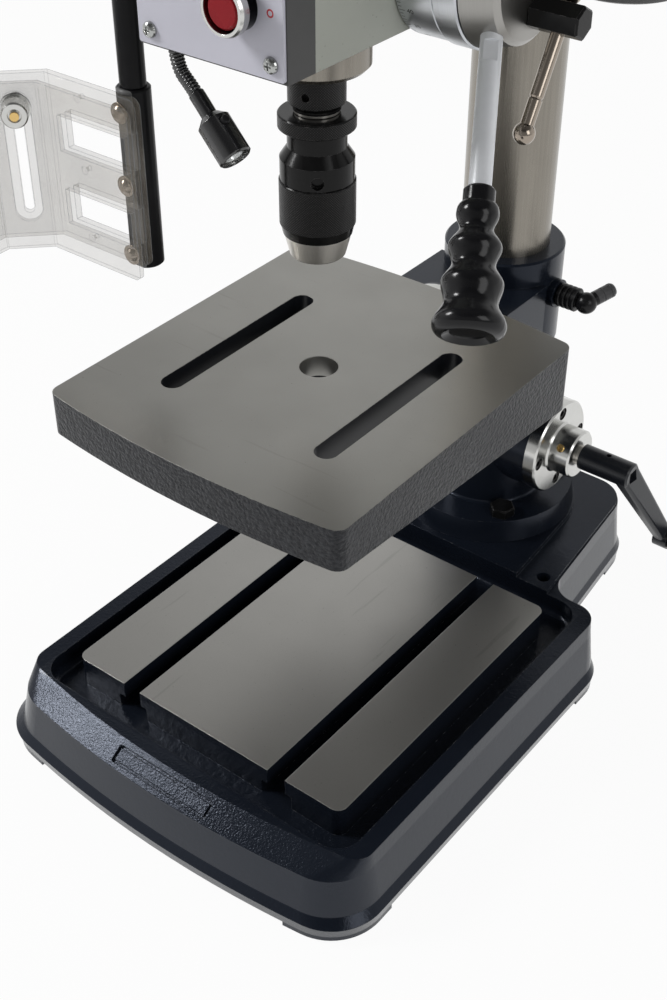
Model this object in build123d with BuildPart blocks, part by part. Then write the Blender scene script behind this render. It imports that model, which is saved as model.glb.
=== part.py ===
from build123d import *
from math import acos, asin, atan2, cos, degrees, hypot, pi, radians, sin, sqrt, tan
import os

os.makedirs("parts", exist_ok=True)

# Bench drill. Sizes are in millimetres. The origin lies on the bench midway between the two
# hold-down holes, +X is the operator's right, +Y runs back to the column and +Z is up.

# Fits and gaps
running_fit = 0.05
seat_fit = 0.02
face_gap = 0.4

# Layout
column_y = 70.0
throat = 240.0
spindle_y = column_y - throat

# Base casting
base_half_width = 165.0
base_front_y = -367.0
base_front_bow = 16.0
base_main_rear_y = -8.0
base_rear_y = 152.0
wing_front_half_width = 117.5
wing_rear_half_width = 101.0
wing_flare = 0.5
base_front_corner_radius = 38.0
rim_front_corner_radius = 15.0
base_corner_radius = 21.0
corner_flare = 1.5
wing_corner_radius = 31.0
wing_root_radius = 20.0
foot_height = 4.0
skirt_grow = 9.0
lip_grow = 11.0
lip_edge_z = 14.0
lip_top_z = 20.0
wall_grow = 6.0
wall_top_z = 50.0
rim_z = 62.0
rim_shrink = 1.5
front_slope_run = 18.0
wing_z = 65.0
platform_z = 69.0
platform_front_half_width = 86.0
pad_z = 71.0
pad_half_width = 129.7
pad_front_y = -312.0
pad_rear_y = -40.0
pad_corner_radius = 8.0
trough_half_width = 149.5
trough_front_y = -335.0
trough_rear_y = -14.0
trough_floor_z = 45.0
trough_corner_radius = 20.0
trough_fillet = 6.0
t_slot_x = 71.5
t_slot_neck_width = 16.3
t_slot_wide_width = 28.0
t_slot_neck_depth = 14.0
hold_down_x = 104.0
hold_down_radius = 6.0
base_wall = 14.0
main_cavity_z = 33.0
rear_cavity_z = 50.0
plate_recess_width = 92.0
plate_recess_height = 13.8
plate_recess_depth = 1.4
plate_recess_corner = 2.0
plate_groove_width = 2.2
plate_groove_depth = 3.2

# Column foot, its bolts and the column
foot_flange_radius = 78.0
foot_flange_draft = 3.0
foot_flange_thick = 20.0
foot_barrel_radius = 48.0
foot_barrel_top_z = 192.0
foot_fillet = 3.0
foot_bolt_circle_radius = 62.0
foot_bolt_radius = 6.0
foot_bolt_head_width = 19.0
foot_bolt_head_height = 8.0
foot_bolt_grip = 12.0
column_radius = 35.4
column_bore_radius = 28.0
column_top_z = 716.0
key_width = 14.0

# Crank on the foot
crank_z = 145.0
crank_boss_radius = 41.0
crank_boss_end_x = 58.0
crank_flange_thick = 11.0
crank_hub_radius = 21.0
crank_hub_end_x = 89.0
crank_spigot_radius = 20.0
crank_spigot_start_x = 40.0
crank_shaft_radius = 8.5
crank_screw_circle_radius = 33.0
crank_screw_radius = 3.0
crank_screw_head_radius = 5.0
crank_screw_head_depth = 6.0
crank_screw_sink = 7.0
crank_screw_reach = 14.0
bevel_pinion_radius = 12.0
bevel_wheel_radius = 22.0
bevel_face = 8.0
bevel_pinion_length = 12.0
crank_arm_hub_radius = 11.0
crank_arm_hub_start_x = 92.0
crank_arm_hub_end_x = 139.0
crank_square = 10.0
crank_pin_hole_radius = 2.2
crank_arm_reach = 100.0
crank_arm_lean = 22.0
crank_arm_angle = 30.0
crank_arm_thick = 13.0
crank_arm_width = 22.0
crank_arm_tip_width = 15.0
crank_end_radius = 10.0
crank_pin_radius = 4.0
crank_grip_radius = 12.0
crank_grip_length = 72.0
nipple_x = 79.0
nipple_radius = 3.4

# Lift screw in the column
screw_radius = 10.0
screw_journal_radius = 8.0
screw_plug_thick = 14.0
screw_top_z = 374.0
lift_nut_z = 268.0
lift_nut_height = 34.0
lift_key_height = 28.0
lift_key_reach = 44.0
lift_up = 30.0
lift_down = 40.0

# Table bracket
bracket_collar_radius = 48.0
bracket_low_z = 238.0
bracket_high_z = 320.0
arm_half_width = 50.0
arm_top_z = 299.0
trunnion_z = 249.0
trunnion_radius = 58.0
trunnion_rear_y = -3.0
table_joint_y = -24.0
scale_thick = 0.8
scale_gap = 0.3
scale_width = 11.0
scale_half_angle = 52.0
tilt_bolt_radius = 8.0
tilt_nut_width = 24.0
tilt_nut_thick = 13.0
lock_z = 287.0
lock_boss_radius = 11.5
lock_boss_end_x = 53.5
lock_screw_radius = 6.0
lock_hub_radius = 9.6
lock_hub_end_x = 71.0
lock_rib_count = 4
lock_rib_depth = 1.0
lock_ball_x = 78.0
lock_ball_radius = 8.6
lock_handle_radius = 5.9
lock_handle_length = 27.0

# Table
table_top_z = 317.0
table_half_width = 126.0
table_front_y = -317.0
table_rear_y = -28.0
table_bow = 9.0
table_corner_radius = 9.0
table_plate_thick = 15.0
table_skirt_front = 31.0
table_skirt_rear = 53.0
table_skirt_wall = 9.0
table_boss_radius = 38.0
table_boss_front_y = -60.0
table_slot_x = 67.2
table_slot_width = 16.9
table_slot_length = 158.0
table_slot_y = -176.0
table_hole_radius = 13.7
table_rib_x = 36.0
table_rib_thick = 8.0
table_rib_depth = 26.0
table_slot_wall = 7.0
table_slot_depth = 27.0

# Head casting
head_half_width = 54.5
head_front_y = -239.0
head_bottom_z = 562.0
head_top_z = 722.0
head_clamp_bottom_z = 612.0
head_clamp_radius = 58.0
head_throat_y = -78.0
head_edge_radius = 5.0
head_shelf_thick = 18.0
head_shelf_half_width = 58.0

# Control box and panel
box_depth = 24.0
box_wall = 3.0
box_top_z = 704.0
panel_thick = 2.0
panel_side_inset = 0.8
panel_end_inset = 1.6
panel_screw_x = 44.7
panel_screw_low_z = 572.0
panel_screw_high_z = 694.0
panel_screw_radius = 2.4
panel_screw_head_radius = 4.9
panel_screw_head_height = 3.4
panel_screw_cross = 4.6
panel_screw_cross_width = 1.0
panel_screw_cross_depth = 1.5
stop_x = 22.3
stop_z = 600.3
start_x = -20.5
start_z = 650.0
bezel_radius = 15.0
bezel_height = 14.0
bezel_ring_depth = 6.4
bezel_base_radius = 14.0
bezel_slope = 2.0
bezel_sleeve_radius = 10.9
bezel_sleeve_wall = 2.0
bezel_sleeve_depth = 9.0
cap_radius = 10.8
cap_gap = 1.5
cap_sink = 1.1
cap_travel = 2.5
bezel_floor = 0.8
cap_stem_gap = 0.4

# Quill, rack and spindle
quill_radius = 34.0
quill_bottom_z = 533.0
quill_top_z = 703.0
quill_edge = 3.0
quill_bore_radius = 15.0
quill_land = 16.0
rack_module = 2.0
rack_pitch_offset = 29.0
rack_half_width = 10.5
rack_teeth_below = 2
rack_teeth_above = 15
pinion_teeth = 17
pressure_angle = 20.0
tooth_backlash = 0.3
spindle_radius = 12.5
spindle_top_z = 812.0
spindle_collar_radius = 14.5
spindle_tip_z = 480.0
spindle_tip_radius = 7.0
spindle_root_radius = 8.5
spindle_nut_radius = 18.4
spindle_nut_bottom_z = 506.4
spindle_nut_foot_radius = 15.2
spindle_nut_foot_z = 508.2
spindle_nut_edge_z = 511.4
spindle_nut_top_z = 531.0
nut_hole_radius = 2.7
nut_hole_depth = 4.0
nut_hole_z = 518.9
nut_hole_turn = -74.0

# Chuck
draw_ring_radius = 25.0
draw_ring_low_z = 494.4
draw_ring_high_z = 504.2
chuck_neck_radius = 19.2
chuck_neck_top_z = 493.8
chuck_shoulder_top_z = 482.0
chuck_band_top_z = 474.7
chuck_band_radius = 24.2
chuck_band_low_z = 460.3
chuck_barrel_radius = 20.5
chuck_bore_radius = 6.8
chuck_bore_top_z = 474.0
chuck_sleeve_radius = 25.0
chuck_sleeve_low_z = 422.6
chuck_sleeve_knurl_low_z = 429.0
chuck_sleeve_tip_radius = 23.0
chuck_nose_top_radius = 22.4
chuck_nose_tip_radius = 18.6
chuck_nose_tip_z = 406.4
jaw_radius = 4.0
jaw_incline = 12.0
jaw_open = 3.0
jaw_tip_z = 404.0
jaw_length = 28.0
jaw_tip_flat = 2.0
jaw_rise = 16.0
chuck_pin_radius = 4.2
chuck_pin_depth = 4.0
chuck_pin_z = 465.8
chuck_pin_turn = -51.5

# Feed hub and levers
feed_z = 599.0
feed_shaft_radius = 11.0
feed_shaft_left_x = -72.0
feed_shaft_right_x = 112.0
depth_ring_start_x = 55.2
depth_ring_end_x = 81.0
depth_ring_radius = 45.5
plain_ring_end_x = 98.0
plain_ring_radius = 46.5
hub_start_x = 98.6
hub_end_x = 121.0
hub_radius = 45.0
hub_end_radius = 37.7
hub_spigot_radius = 30.0
lever_root_x = 95.4
lever_lean = 22.9
lever_first_angle = 45.0
lever_count = 3
lever_radius = 6.5
lever_socket = 26.0
lever_flat_start = 48.0
lever_flat_end = 61.0
lever_flat_width = 10.0
lever_flat_turn = 22.0
lever_end = 150.0
grip_start = 135.8
grip_end = 221.5
grip_collar_radius = 9.1
grip_collar_length = 8.6
grip_end_radius = 14.6
clamp_drop = 21.0
clamp_back = 3.0
clamp_hex_width = 17.5
clamp_hex_end_x = 153.5
clamp_stem_radius = 6.0
clamp_stem_length = 14.0
tommy_x = 139.0
tommy_radius = 4.2
tommy_ball_radius = 6.6
tommy_low_reach = 66.0
tommy_high_reach = 14.2
tommy_angle = 29.4
spring_cap_radius = 34.0
spring_cap_end_x = -82.0

# Guard
guard_rod_x = -109.0
guard_rod_y = -220.0
guard_rod_radius = 8.7
guard_rod_top_z = 690.0
guard_pin_radius = 6.0
guard_sleeve_radius = 11.3
guard_sleeve_low_z = 385.0
guard_sleeve_high_z = 509.6
guard_sleeve_floor = 8.0
guard_flat = 9.0
guard_plate_thick = 5.0
guard_plate_low_z = 389.5
guard_plate_high_z = 506.6
guard_plate_side_x = -95.0
guard_plate_corner = 6.0
guard_fold_x = -176.4
guard_second_panel = 39.8
guard_third_panel = 110.0
guard_fold_angle = 45.0
guard_window_left_x = -160.4
guard_window_right_x = -99.5
guard_window_height = 24.8
guard_window_low_z = 406.4
guard_window_high_z = 458.6
guard_slot_along = 20.8
guard_slot_width = 6.7
guard_slot_low_z = 407.7
guard_slot_high_z = 492.0
guard_slider_gap = 0.5
guard_slider_thick = 3.5
guard_slider_low_z = 382.5
guard_slider_high_z = 501.6
guard_slider_side_x = -95.5
guard_slider_corner = 5.0
guard_slider_slot_width = 18.2
guard_slider_slot_low_z = 403.0
guard_slider_slot_high_z = 494.6
guard_screw_room = 3.9
guard_spacer_x = -147.4
guard_spacer_radius = 3.2
guard_stud_radius = 3.1
guard_stud_z = 485.0
guard_washer_radius = 10.2
guard_washer_thick = 1.5
guard_knob_radius = 9.0
guard_knob_height = 13.0
guard_stud_head_radius = 5.5
guard_stud_head_thick = 3.0
guard_screw_high_z = 495.7
guard_screw_low_z = 395.6
guard_screw_head_radius = 5.0
guard_screw_head_height = 2.5
guard_screw_washer_radius = 7.0
guard_screw_washer_thick = 0.8
guard_screw_radius = 2.0
guard_holder_low_z = 632.0
guard_holder_high_z = 664.0
guard_holder_half_depth = 16.0

# Lamp
lamp_root_x = -35.0
lamp_root_y = -256.0
lamp_turn = 50.4
lamp_heading = -9.7
hose_radius = 4.4
hose_valley_radius = 3.8
hose_bore_radius = 2.2
hose_bend_radius = 14.0
hose_end_straight = 37.0
hose_pitch = 2.4
lamp_socket_depth = 5.0
lamp_neck_radius = 7.2
lamp_body_radius = 10.2
lamp_body_length = 29.0
lamp_shoulder = 4.0
lamp_hollow_radius = 7.0
lamp_lens_radius = 8.8
lamp_lens_inset = 1.0
lamp_lens_thick = 2.5
lamp_switch_radius = 2.6
lamp_switch_rise = 2.2
lamp_switch_travel = 1.2
lamp_switch_along = 9.0

# Belt drive and motor
motor_y = 225.0
motor_radius = 60.0
motor_bottom_z = 480.7
motor_cowl_top_z = 519.7
motor_flange_thick = 10.0
motor_flange_radius = 54.0
motor_fin_count = 18
motor_fin_height = 4.0
motor_shaft_radius = 9.5
tray_thick = 3.0
tray_spindle_radius = 76.0
tray_motor_radius = 72.0
tray_rim = 6.0
rim_thick = 2.0
cover_wall = 2.5
cover_top_z = 822.0
cover_edge_radius = 10.0
hinge_radius = 3.0
hinge_wall_gap = 2.0
hinge_lift = 1.0
pulley_bottom_z = 744.0
pulley_step_height = 15.0
pulley_large_radius = 56.0
pulley_step = 9.0
motor_pulley_small_radius = 26.0
belt_width = 8.0
belt_height = 10.0
sleeve_radius = 20.0
sleeve_bottom_z = 707.0
terminal_half_width = 26.0
terminal_depth = 28.0
terminal_low_z = 560.0
terminal_high_z = 622.0
gland_radius = 9.0
gland_stem_radius = 6.0
gland_bore_radius = 3.5
gland_length = 18.0

# Derived places
feed_y = spindle_y + rack_pitch_offset + rack_module * pinion_teeth / 2
pinion_pitch_radius = rack_module * pinion_teeth / 2
foot_flange_top_z = platform_z + foot_flange_thick
box_front_y = head_front_y - box_depth
panel_front_y = box_front_y - panel_thick
clamp_y = feed_y + clamp_back
clamp_z = feed_z - clamp_drop
crank_arm_dir = (
    crank_arm_lean,
    crank_arm_reach * sin(radians(crank_arm_angle)),
    -crank_arm_reach * cos(radians(crank_arm_angle)),
)


from_end = (Align.CENTER, Align.CENTER, Align.MIN)


def normal_to(direction):
    """A direction square to the given one."""
    along = Vector(*direction).normalized()
    side = Vector(1, 0, 0) if abs(along.X) < 0.9 else Vector(0, 1, 0)
    return along.cross(side).normalized()


def across(origin, direction):
    """The plane through a point, square to a direction."""
    along = Vector(*direction).normalized()
    return Plane(origin=origin, x_dir=normal_to(direction), z_dir=along)


def turned(points, origin, direction, mode=Mode.ADD):
    """A turned body: points give the distance along the axis and the radius there."""
    along = Vector(*direction).normalized()
    plane = Plane(origin=origin, x_dir=along, z_dir=normal_to(direction))
    with BuildSketch(plane) as profile:
        with BuildLine():
            Polyline(*points, close=True)
        make_face()
    revolve(profile.sketch, axis=Axis(origin, along), mode=mode)


def bar_x(y, z, radius, start, end, mode=Mode.ADD):
    """A round bar along X."""
    with Locations((start, y, z)):
        Cylinder(radius, end - start, rotation=(0, 90, 0), align=from_end, mode=mode)


def bar_y(x, z, radius, start, end, mode=Mode.ADD):
    """A round bar along Y."""
    with Locations((x, start, z)):
        Cylinder(radius, end - start, rotation=(-90, 0, 0), align=from_end, mode=mode)


def bar_z(x, y, radius, start, end, mode=Mode.ADD):
    """A round bar along Z."""
    with Locations((x, y, start)):
        Cylinder(radius, end - start, align=from_end, mode=mode)


def block(x_low, x_high, y_low, y_high, z_low, z_high, mode=Mode.ADD):
    """A square-edged block between six faces."""
    with Locations(((x_low + x_high) / 2, (y_low + y_high) / 2, (z_low + z_high) / 2)):
        Box(x_high - x_low, y_high - y_low, z_high - z_low, mode=mode)


def finish(body, name):
    """Names a body and writes its file."""
    body.part.label = name
    export_step(body.part, "parts/" + name + ".step")


# Base casting


def base_plan(height, grow, front_corner, front_shift=0.0):
    """The base's plan at one height, grown outwards all round, its front set back."""
    side = base_half_width + grow
    front = base_front_y - grow + front_shift
    shoulder = front + base_front_bow
    main_rear = base_main_rear_y + wing_flare * grow
    wing_front = wing_front_half_width + wing_flare * grow
    wing_rear = wing_rear_half_width + wing_flare * grow
    rear = base_rear_y + wing_flare * grow
    with BuildSketch(Plane.XY.offset(height)) as plan:
        with BuildLine():
            ThreePointArc((-side, shoulder), (0, front), (side, shoulder))
            Polyline(
                (side, shoulder),
                (side, main_rear),
                (wing_front, main_rear),
                (wing_rear, rear),
                (-wing_rear, rear),
                (-wing_front, main_rear),
                (-side, main_rear),
                (-side, shoulder),
            )
        make_face()
        fillet(plan.vertices().group_by(Axis.Y)[0], front_corner)
        rear_corners = plan.vertices().filter_by(
            lambda v: abs(abs(v.X) - side) < 0.01 and abs(v.Y - main_rear) < 0.01
        )
        fillet(rear_corners, base_corner_radius + corner_flare * grow)
        roots = plan.vertices().filter_by(
            lambda v: abs(abs(v.X) - wing_front) < 0.01 and abs(v.Y - main_rear) < 0.01
        )
        fillet(roots, wing_root_radius - grow)
        wing_ends = plan.vertices().filter_by(
            lambda v: abs(abs(v.X) - wing_rear) < 0.01 and abs(v.Y - rear) < 0.01
        )
        fillet(wing_ends, wing_corner_radius + wing_flare * grow)
    return plan.sketch


base_front_flare = base_front_corner_radius + lip_grow / 2
with BuildPart() as base_casting:
    skirt_plan = base_plan(foot_height, skirt_grow, base_front_flare)
    lip_plan = base_plan(lip_edge_z, lip_grow, base_front_flare)
    wall_plan = base_plan(lip_top_z, wall_grow, base_front_flare)
    wall_top_plan = base_plan(wall_top_z, 0.0, base_front_corner_radius)
    rim_plan = base_plan(rim_z, -rim_shrink, rim_front_corner_radius, front_slope_run)
    loft([skirt_plan, lip_plan], ruled=True)
    loft([lip_plan, wall_plan], ruled=True)
    loft([wall_plan, wall_top_plan], ruled=True)
    loft([wall_top_plan, rim_plan], ruled=True)
    # feet at the corners, under the hold-down holes and under the rear
    with BuildSketch(mode=Mode.PRIVATE) as foot_areas:
        with Locations((base_half_width, base_front_y), (-base_half_width, base_front_y)):
            Rectangle(86.0, 116.0)
        for side in (-1, 1):
            with Locations((side * (hold_down_x + 36.0), base_main_rear_y - 14.0)):
                Rectangle(108.0, 62.0)
        with Locations((wing_rear_half_width, base_rear_y), (-wing_rear_half_width, base_rear_y)):
            Rectangle(92.0, 92.0)
    with BuildSketch() as feet:
        add(base_plan(0.0, skirt_grow, base_front_flare))
        add(foot_areas.sketch, mode=Mode.INTERSECT)
    extrude(amount=foot_height)
    # raised rear deck and the platform under the column flange
    with BuildSketch(Plane.XY.offset(rim_z)) as deck:
        with BuildLine():
            Polyline(
                (wing_front_half_width - rim_shrink, trough_rear_y),
                (wing_rear_half_width - rim_shrink, base_rear_y - rim_shrink),
                (-wing_rear_half_width + rim_shrink, base_rear_y - rim_shrink),
                (-wing_front_half_width + rim_shrink, trough_rear_y),
                close=True,
            )
        make_face()
        rear_corners = deck.vertices().group_by(Axis.Y)[-1]
        fillet(rear_corners, wing_corner_radius - rim_shrink)
    extrude(amount=wing_z - rim_z)
    with BuildSketch(Plane.XY.offset(rim_z)) as platform:
        flange_seat = foot_flange_radius + 1.5
        reach = hypot(platform_front_half_width, column_y - trough_rear_y)
        turn = asin(flange_seat / reach)
        run = sqrt(reach * reach - flange_seat * flange_seat)
        heading = atan2(column_y - trough_rear_y, -platform_front_half_width) - turn
        touch_x = platform_front_half_width + run * cos(heading)
        touch_y = trough_rear_y + run * sin(heading)
        with BuildLine():
            Polyline(
                (platform_front_half_width, trough_rear_y),
                (touch_x, touch_y),
                (0, column_y),
                (-touch_x, touch_y),
                (-platform_front_half_width, trough_rear_y),
                close=True,
            )
        make_face()
        with Locations((0, column_y)):
            Circle(flange_seat)
    extrude(amount=platform_z - rim_z)
    # drip trough with a rounded floor
    with BuildSketch(Plane.XY.offset(trough_floor_z)) as trough:
        with Locations((0, (trough_front_y + trough_rear_y) / 2)):
            RectangleRounded(2 * trough_half_width, trough_rear_y - trough_front_y, trough_corner_radius)
    extrude(amount=platform_z - trough_floor_z + 10.0, mode=Mode.SUBTRACT)
    fillet(
        base_casting.edges().filter_by_position(Axis.Z, trough_floor_z - 0.05, trough_floor_z + 0.05),
        trough_fillet,
    )
    # machined pads and the two T-slots between them
    with BuildSketch(Plane.XY.offset(trough_floor_z)) as pads:
        with Locations((0, (pad_front_y + pad_rear_y) / 2)):
            RectangleRounded(2 * pad_half_width, pad_rear_y - pad_front_y, pad_corner_radius)
    extrude(amount=pad_z - trough_floor_z)
    for side in (-1, 1):
        half_neck = t_slot_neck_width / 2
        half_wide = t_slot_wide_width / 2
        middle = side * t_slot_x
        neck_z = pad_z - t_slot_neck_depth
        block(
            middle - half_neck,
            middle + half_neck,
            pad_front_y,
            pad_rear_y,
            trough_floor_z,
            pad_z,
            Mode.SUBTRACT,
        )
        block(
            middle - half_wide,
            middle + half_wide,
            pad_front_y,
            pad_rear_y,
            trough_floor_z,
            neck_z,
            Mode.SUBTRACT,
        )
    # hollow underside
    block(
        -base_half_width + base_wall,
        base_half_width - base_wall,
        base_front_y + base_front_bow + base_wall,
        base_main_rear_y - base_wall - 30.0,
        0.0,
        main_cavity_z,
        Mode.SUBTRACT,
    )
    block(
        -wing_rear_half_width + base_wall + 10.0,
        wing_rear_half_width - base_wall - 10.0,
        base_main_rear_y + base_wall,
        base_rear_y - base_wall - 4.0,
        0.0,
        rear_cavity_z,
        Mode.SUBTRACT,
    )
    # holes for the bench bolts and the flange bolts
    for side in (-1, 1):
        bar_z(side * hold_down_x, 0.0, hold_down_radius, 0.0, platform_z + 5.0, Mode.SUBTRACT)
    with Locations((0, column_y, 0)):
        with PolarLocations(foot_bolt_circle_radius, 4, start_angle=45):
            Cylinder(
                foot_bolt_radius + seat_fit,
                3 * platform_z,
                mode=Mode.SUBTRACT,
            )
    # shallow field on the front slope where a plate would sit, with a deeper groove round it
    slope_angle = degrees(atan2(rim_z - wall_top_z, front_slope_run + rim_shrink))
    slope_middle = (0, base_front_y + (front_slope_run + rim_shrink) / 2, (wall_top_z + rim_z) / 2)
    slope_plane = Plane(
        origin=slope_middle,
        x_dir=(1, 0, 0),
        z_dir=(0, -sin(radians(slope_angle)), cos(radians(slope_angle))),
    )
    with BuildSketch(slope_plane) as plate_recess:
        RectangleRounded(plate_recess_width, plate_recess_height, plate_recess_corner)
    extrude(amount=-plate_recess_depth, both=True, mode=Mode.SUBTRACT)
    with BuildSketch(slope_plane) as plate_groove:
        RectangleRounded(plate_recess_width, plate_recess_height, plate_recess_corner)
        Rectangle(
            plate_recess_width - 2 * plate_groove_width,
            plate_recess_height - 2 * plate_groove_width,
            mode=Mode.SUBTRACT,
        )
    extrude(amount=-plate_groove_depth, mode=Mode.SUBTRACT)
finish(base_casting, "base_casting")

# Column foot with its flange, barrel and crank boss
with BuildPart() as column_foot:
    turned(
        (
            (platform_z, 0),
            (platform_z, foot_flange_radius),
            (foot_flange_top_z, foot_flange_radius - foot_flange_draft),
            (foot_flange_top_z, foot_barrel_radius),
            (foot_barrel_top_z, foot_barrel_radius),
            (foot_barrel_top_z, 0),
        ),
        (0, column_y, 0),
        (0, 0, 1),
    )
    root_edge = column_foot.edges().filter_by(GeomType.CIRCLE).filter_by(
        lambda e: abs(e.radius - foot_barrel_radius) < 0.01 and e.center().Z < foot_flange_top_z + 0.1
    )
    fillet(root_edge, foot_fillet)
    bar_x(column_y, crank_z, crank_boss_radius, 0.0, crank_boss_end_x)
    bar_z(0, column_y, column_radius + seat_fit, platform_z - 1.0, foot_barrel_top_z + 1.0, Mode.SUBTRACT)
    bar_x(column_y, crank_z, crank_spigot_radius + seat_fit, 0.0, crank_boss_end_x + 1.0, Mode.SUBTRACT)
    with Locations((0, column_y, foot_flange_top_z)):
        with PolarLocations(foot_bolt_circle_radius, 4, start_angle=45):
            Cylinder(foot_bolt_radius + seat_fit, 3 * foot_flange_thick, mode=Mode.SUBTRACT)
    for quarter in range(4):
        turn = radians(90 * quarter)
        bar_x(
            column_y + crank_screw_circle_radius * cos(turn),
            crank_z + crank_screw_circle_radius * sin(turn),
            crank_screw_radius + seat_fit,
            crank_boss_end_x - crank_screw_reach,
            crank_boss_end_x + 1.0,
            Mode.SUBTRACT,
        )
finish(column_foot, "column_foot")

with BuildPart() as foot_bolts:
    with Locations((0, column_y, 0)):
        with PolarLocations(foot_bolt_circle_radius, 4, start_angle=45):
            with Locations((0, 0, platform_z - foot_bolt_grip)):
                Cylinder(
                    foot_bolt_radius,
                    foot_flange_thick + foot_bolt_grip,
                    align=from_end,
                )
    with BuildSketch(Plane.XY.offset(foot_flange_top_z)) as bolt_heads:
        with Locations((0, column_y)):
            with PolarLocations(foot_bolt_circle_radius, 4, start_angle=45):
                RegularPolygon(foot_bolt_head_width / 2, 6, major_radius=False)
    extrude(amount=foot_bolt_head_height)
    top_edges = foot_bolts.edges().group_by(Axis.Z)[-1]
    chamfer(top_edges, 0.9)
finish(foot_bolts, "foot_bolts")

# Column with the window for the crank's pinion and the slot for the lift key
bevel_pinion_x = bevel_wheel_radius
bevel_slope = bevel_pinion_radius / bevel_wheel_radius
wheel_z = crank_z - bevel_pinion_radius
wheel_top_z = wheel_z + bevel_face * bevel_slope
lower_plug_top_z = wheel_z - 16.0
slot_low_z = lift_nut_z - lift_key_height / 2 - lift_down - 3.0
slot_high_z = lift_nut_z + lift_key_height / 2 + lift_up + 3.0
with BuildPart() as column_tube:
    bar_z(0, column_y, column_radius, platform_z, column_top_z)
    chamfer(column_tube.edges().group_by(Axis.Z)[-1], 1.5)
    bar_z(0, column_y, column_bore_radius, platform_z - 1.0, column_top_z + 1.0, Mode.SUBTRACT)
    for web_top in (lower_plug_top_z, screw_top_z):
        bar_z(0, column_y, column_bore_radius + 1.0, web_top - screw_plug_thick, web_top)
        bar_z(0, column_y, screw_journal_radius + running_fit, web_top - 30.0, web_top + 1.0, Mode.SUBTRACT)
    bar_x(column_y, crank_z, crank_spigot_radius + 1.0, 0.0, column_radius + 5.0, Mode.SUBTRACT)
    block(
        -key_width / 2,
        key_width / 2,
        column_y + column_bore_radius - 5.0,
        column_y + column_radius + 5.0,
        slot_low_z,
        slot_high_z,
        Mode.SUBTRACT,
    )
finish(column_tube, "column_tube")

# Plated bearing flange of the crank
with BuildPart() as crank_flange:
    flange_face_x = crank_boss_end_x + crank_flange_thick
    turned(
        (
            (crank_spigot_start_x, crank_shaft_radius + running_fit),
            (crank_spigot_start_x, crank_spigot_radius),
            (crank_boss_end_x, crank_spigot_radius),
            (crank_boss_end_x, crank_boss_radius),
            (flange_face_x - 1.5, crank_boss_radius),
            (flange_face_x, crank_boss_radius - 1.5),
            (flange_face_x, crank_hub_radius + 1.5),
            (flange_face_x + 1.5, crank_hub_radius),
            (crank_hub_end_x - 1.5, crank_hub_radius),
            (crank_hub_end_x, crank_hub_radius - 1.5),
            (crank_hub_end_x, crank_shaft_radius + running_fit),
        ),
        (0, column_y, crank_z),
        (1, 0, 0),
    )
    for quarter in range(4):
        turn = radians(90 * quarter)
        screw_y = column_y + crank_screw_circle_radius * cos(turn)
        screw_z = crank_z + crank_screw_circle_radius * sin(turn)
        bar_x(
            screw_y,
            screw_z,
            crank_screw_radius + seat_fit,
            crank_boss_end_x - 1.0,
            flange_face_x,
            Mode.SUBTRACT,
        )
        bar_x(
            screw_y,
            screw_z,
            crank_screw_head_radius + 0.5,
            flange_face_x - crank_screw_sink,
            flange_face_x + 1.0,
            Mode.SUBTRACT,
        )
    nipple_dir = (0, -cos(radians(35)), sin(radians(35)))
    nipple_seat = crank_hub_radius - 4.0
    nipple_at = (
        nipple_x,
        column_y + nipple_dir[1] * nipple_seat,
        crank_z + nipple_dir[2] * nipple_seat,
    )
    with BuildSketch(across(nipple_at, nipple_dir)) as nipple_hole:
        Circle(nipple_radius + seat_fit)
    extrude(amount=6.0, mode=Mode.SUBTRACT)
finish(crank_flange, "crank_flange")

with BuildPart() as flange_screws:
    for quarter in range(4):
        turn = radians(90 * quarter)
        screw_y = column_y + crank_screw_circle_radius * cos(turn)
        screw_z = crank_z + crank_screw_circle_radius * sin(turn)
        seat_x = crank_boss_end_x + crank_flange_thick - crank_screw_sink
        bar_x(screw_y, screw_z, crank_screw_radius, crank_boss_end_x - crank_screw_reach + 1.0, seat_x)
        bar_x(screw_y, screw_z, crank_screw_head_radius, seat_x, seat_x + crank_screw_head_depth)
        with BuildSketch(Plane.YZ.offset(seat_x + crank_screw_head_depth)) as socket:
            with Locations((screw_y, screw_z)):
                RegularPolygon(2.5, 6, major_radius=False)
        extrude(amount=-3.0, mode=Mode.SUBTRACT)
finish(flange_screws, "flange_screws")

with BuildPart() as grease_nipple:
    turned(
        (
            (0.0, 0.0),
            (0.0, nipple_radius),
            (4.6, nipple_radius),
            (5.2, nipple_radius - 0.6),
            (5.2, 1.7),
            (4.2, 1.2),
            (4.2, 0.0),
        ),
        nipple_at,
        nipple_dir,
    )
finish(grease_nipple, "grease_nipple")

# Crank shaft with its bevel pinion
with BuildPart() as crank_shaft:
    turned(
        (
            (bevel_pinion_x - bevel_face, 0.0),
            (bevel_pinion_x - bevel_face, (bevel_pinion_x - bevel_face) * bevel_slope - face_gap),
            (bevel_pinion_x, bevel_pinion_radius - face_gap),
            (bevel_pinion_x + 3.0, bevel_pinion_radius - 2.0),
            (bevel_pinion_x + bevel_pinion_length, bevel_pinion_radius - 2.0),
            (bevel_pinion_x + bevel_pinion_length, crank_shaft_radius),
            (crank_arm_hub_start_x, crank_shaft_radius),
            (crank_arm_hub_start_x, 0.0),
        ),
        (0, column_y, crank_z),
        (1, 0, 0),
    )
    with BuildSketch(Plane.YZ.offset(crank_arm_hub_start_x)) as square_end:
        with Locations((column_y, crank_z)):
            Rectangle(crank_square, crank_square)
    extrude(amount=crank_arm_hub_end_x - crank_arm_hub_start_x - 4.0)
finish(crank_shaft, "crank_shaft")

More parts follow.
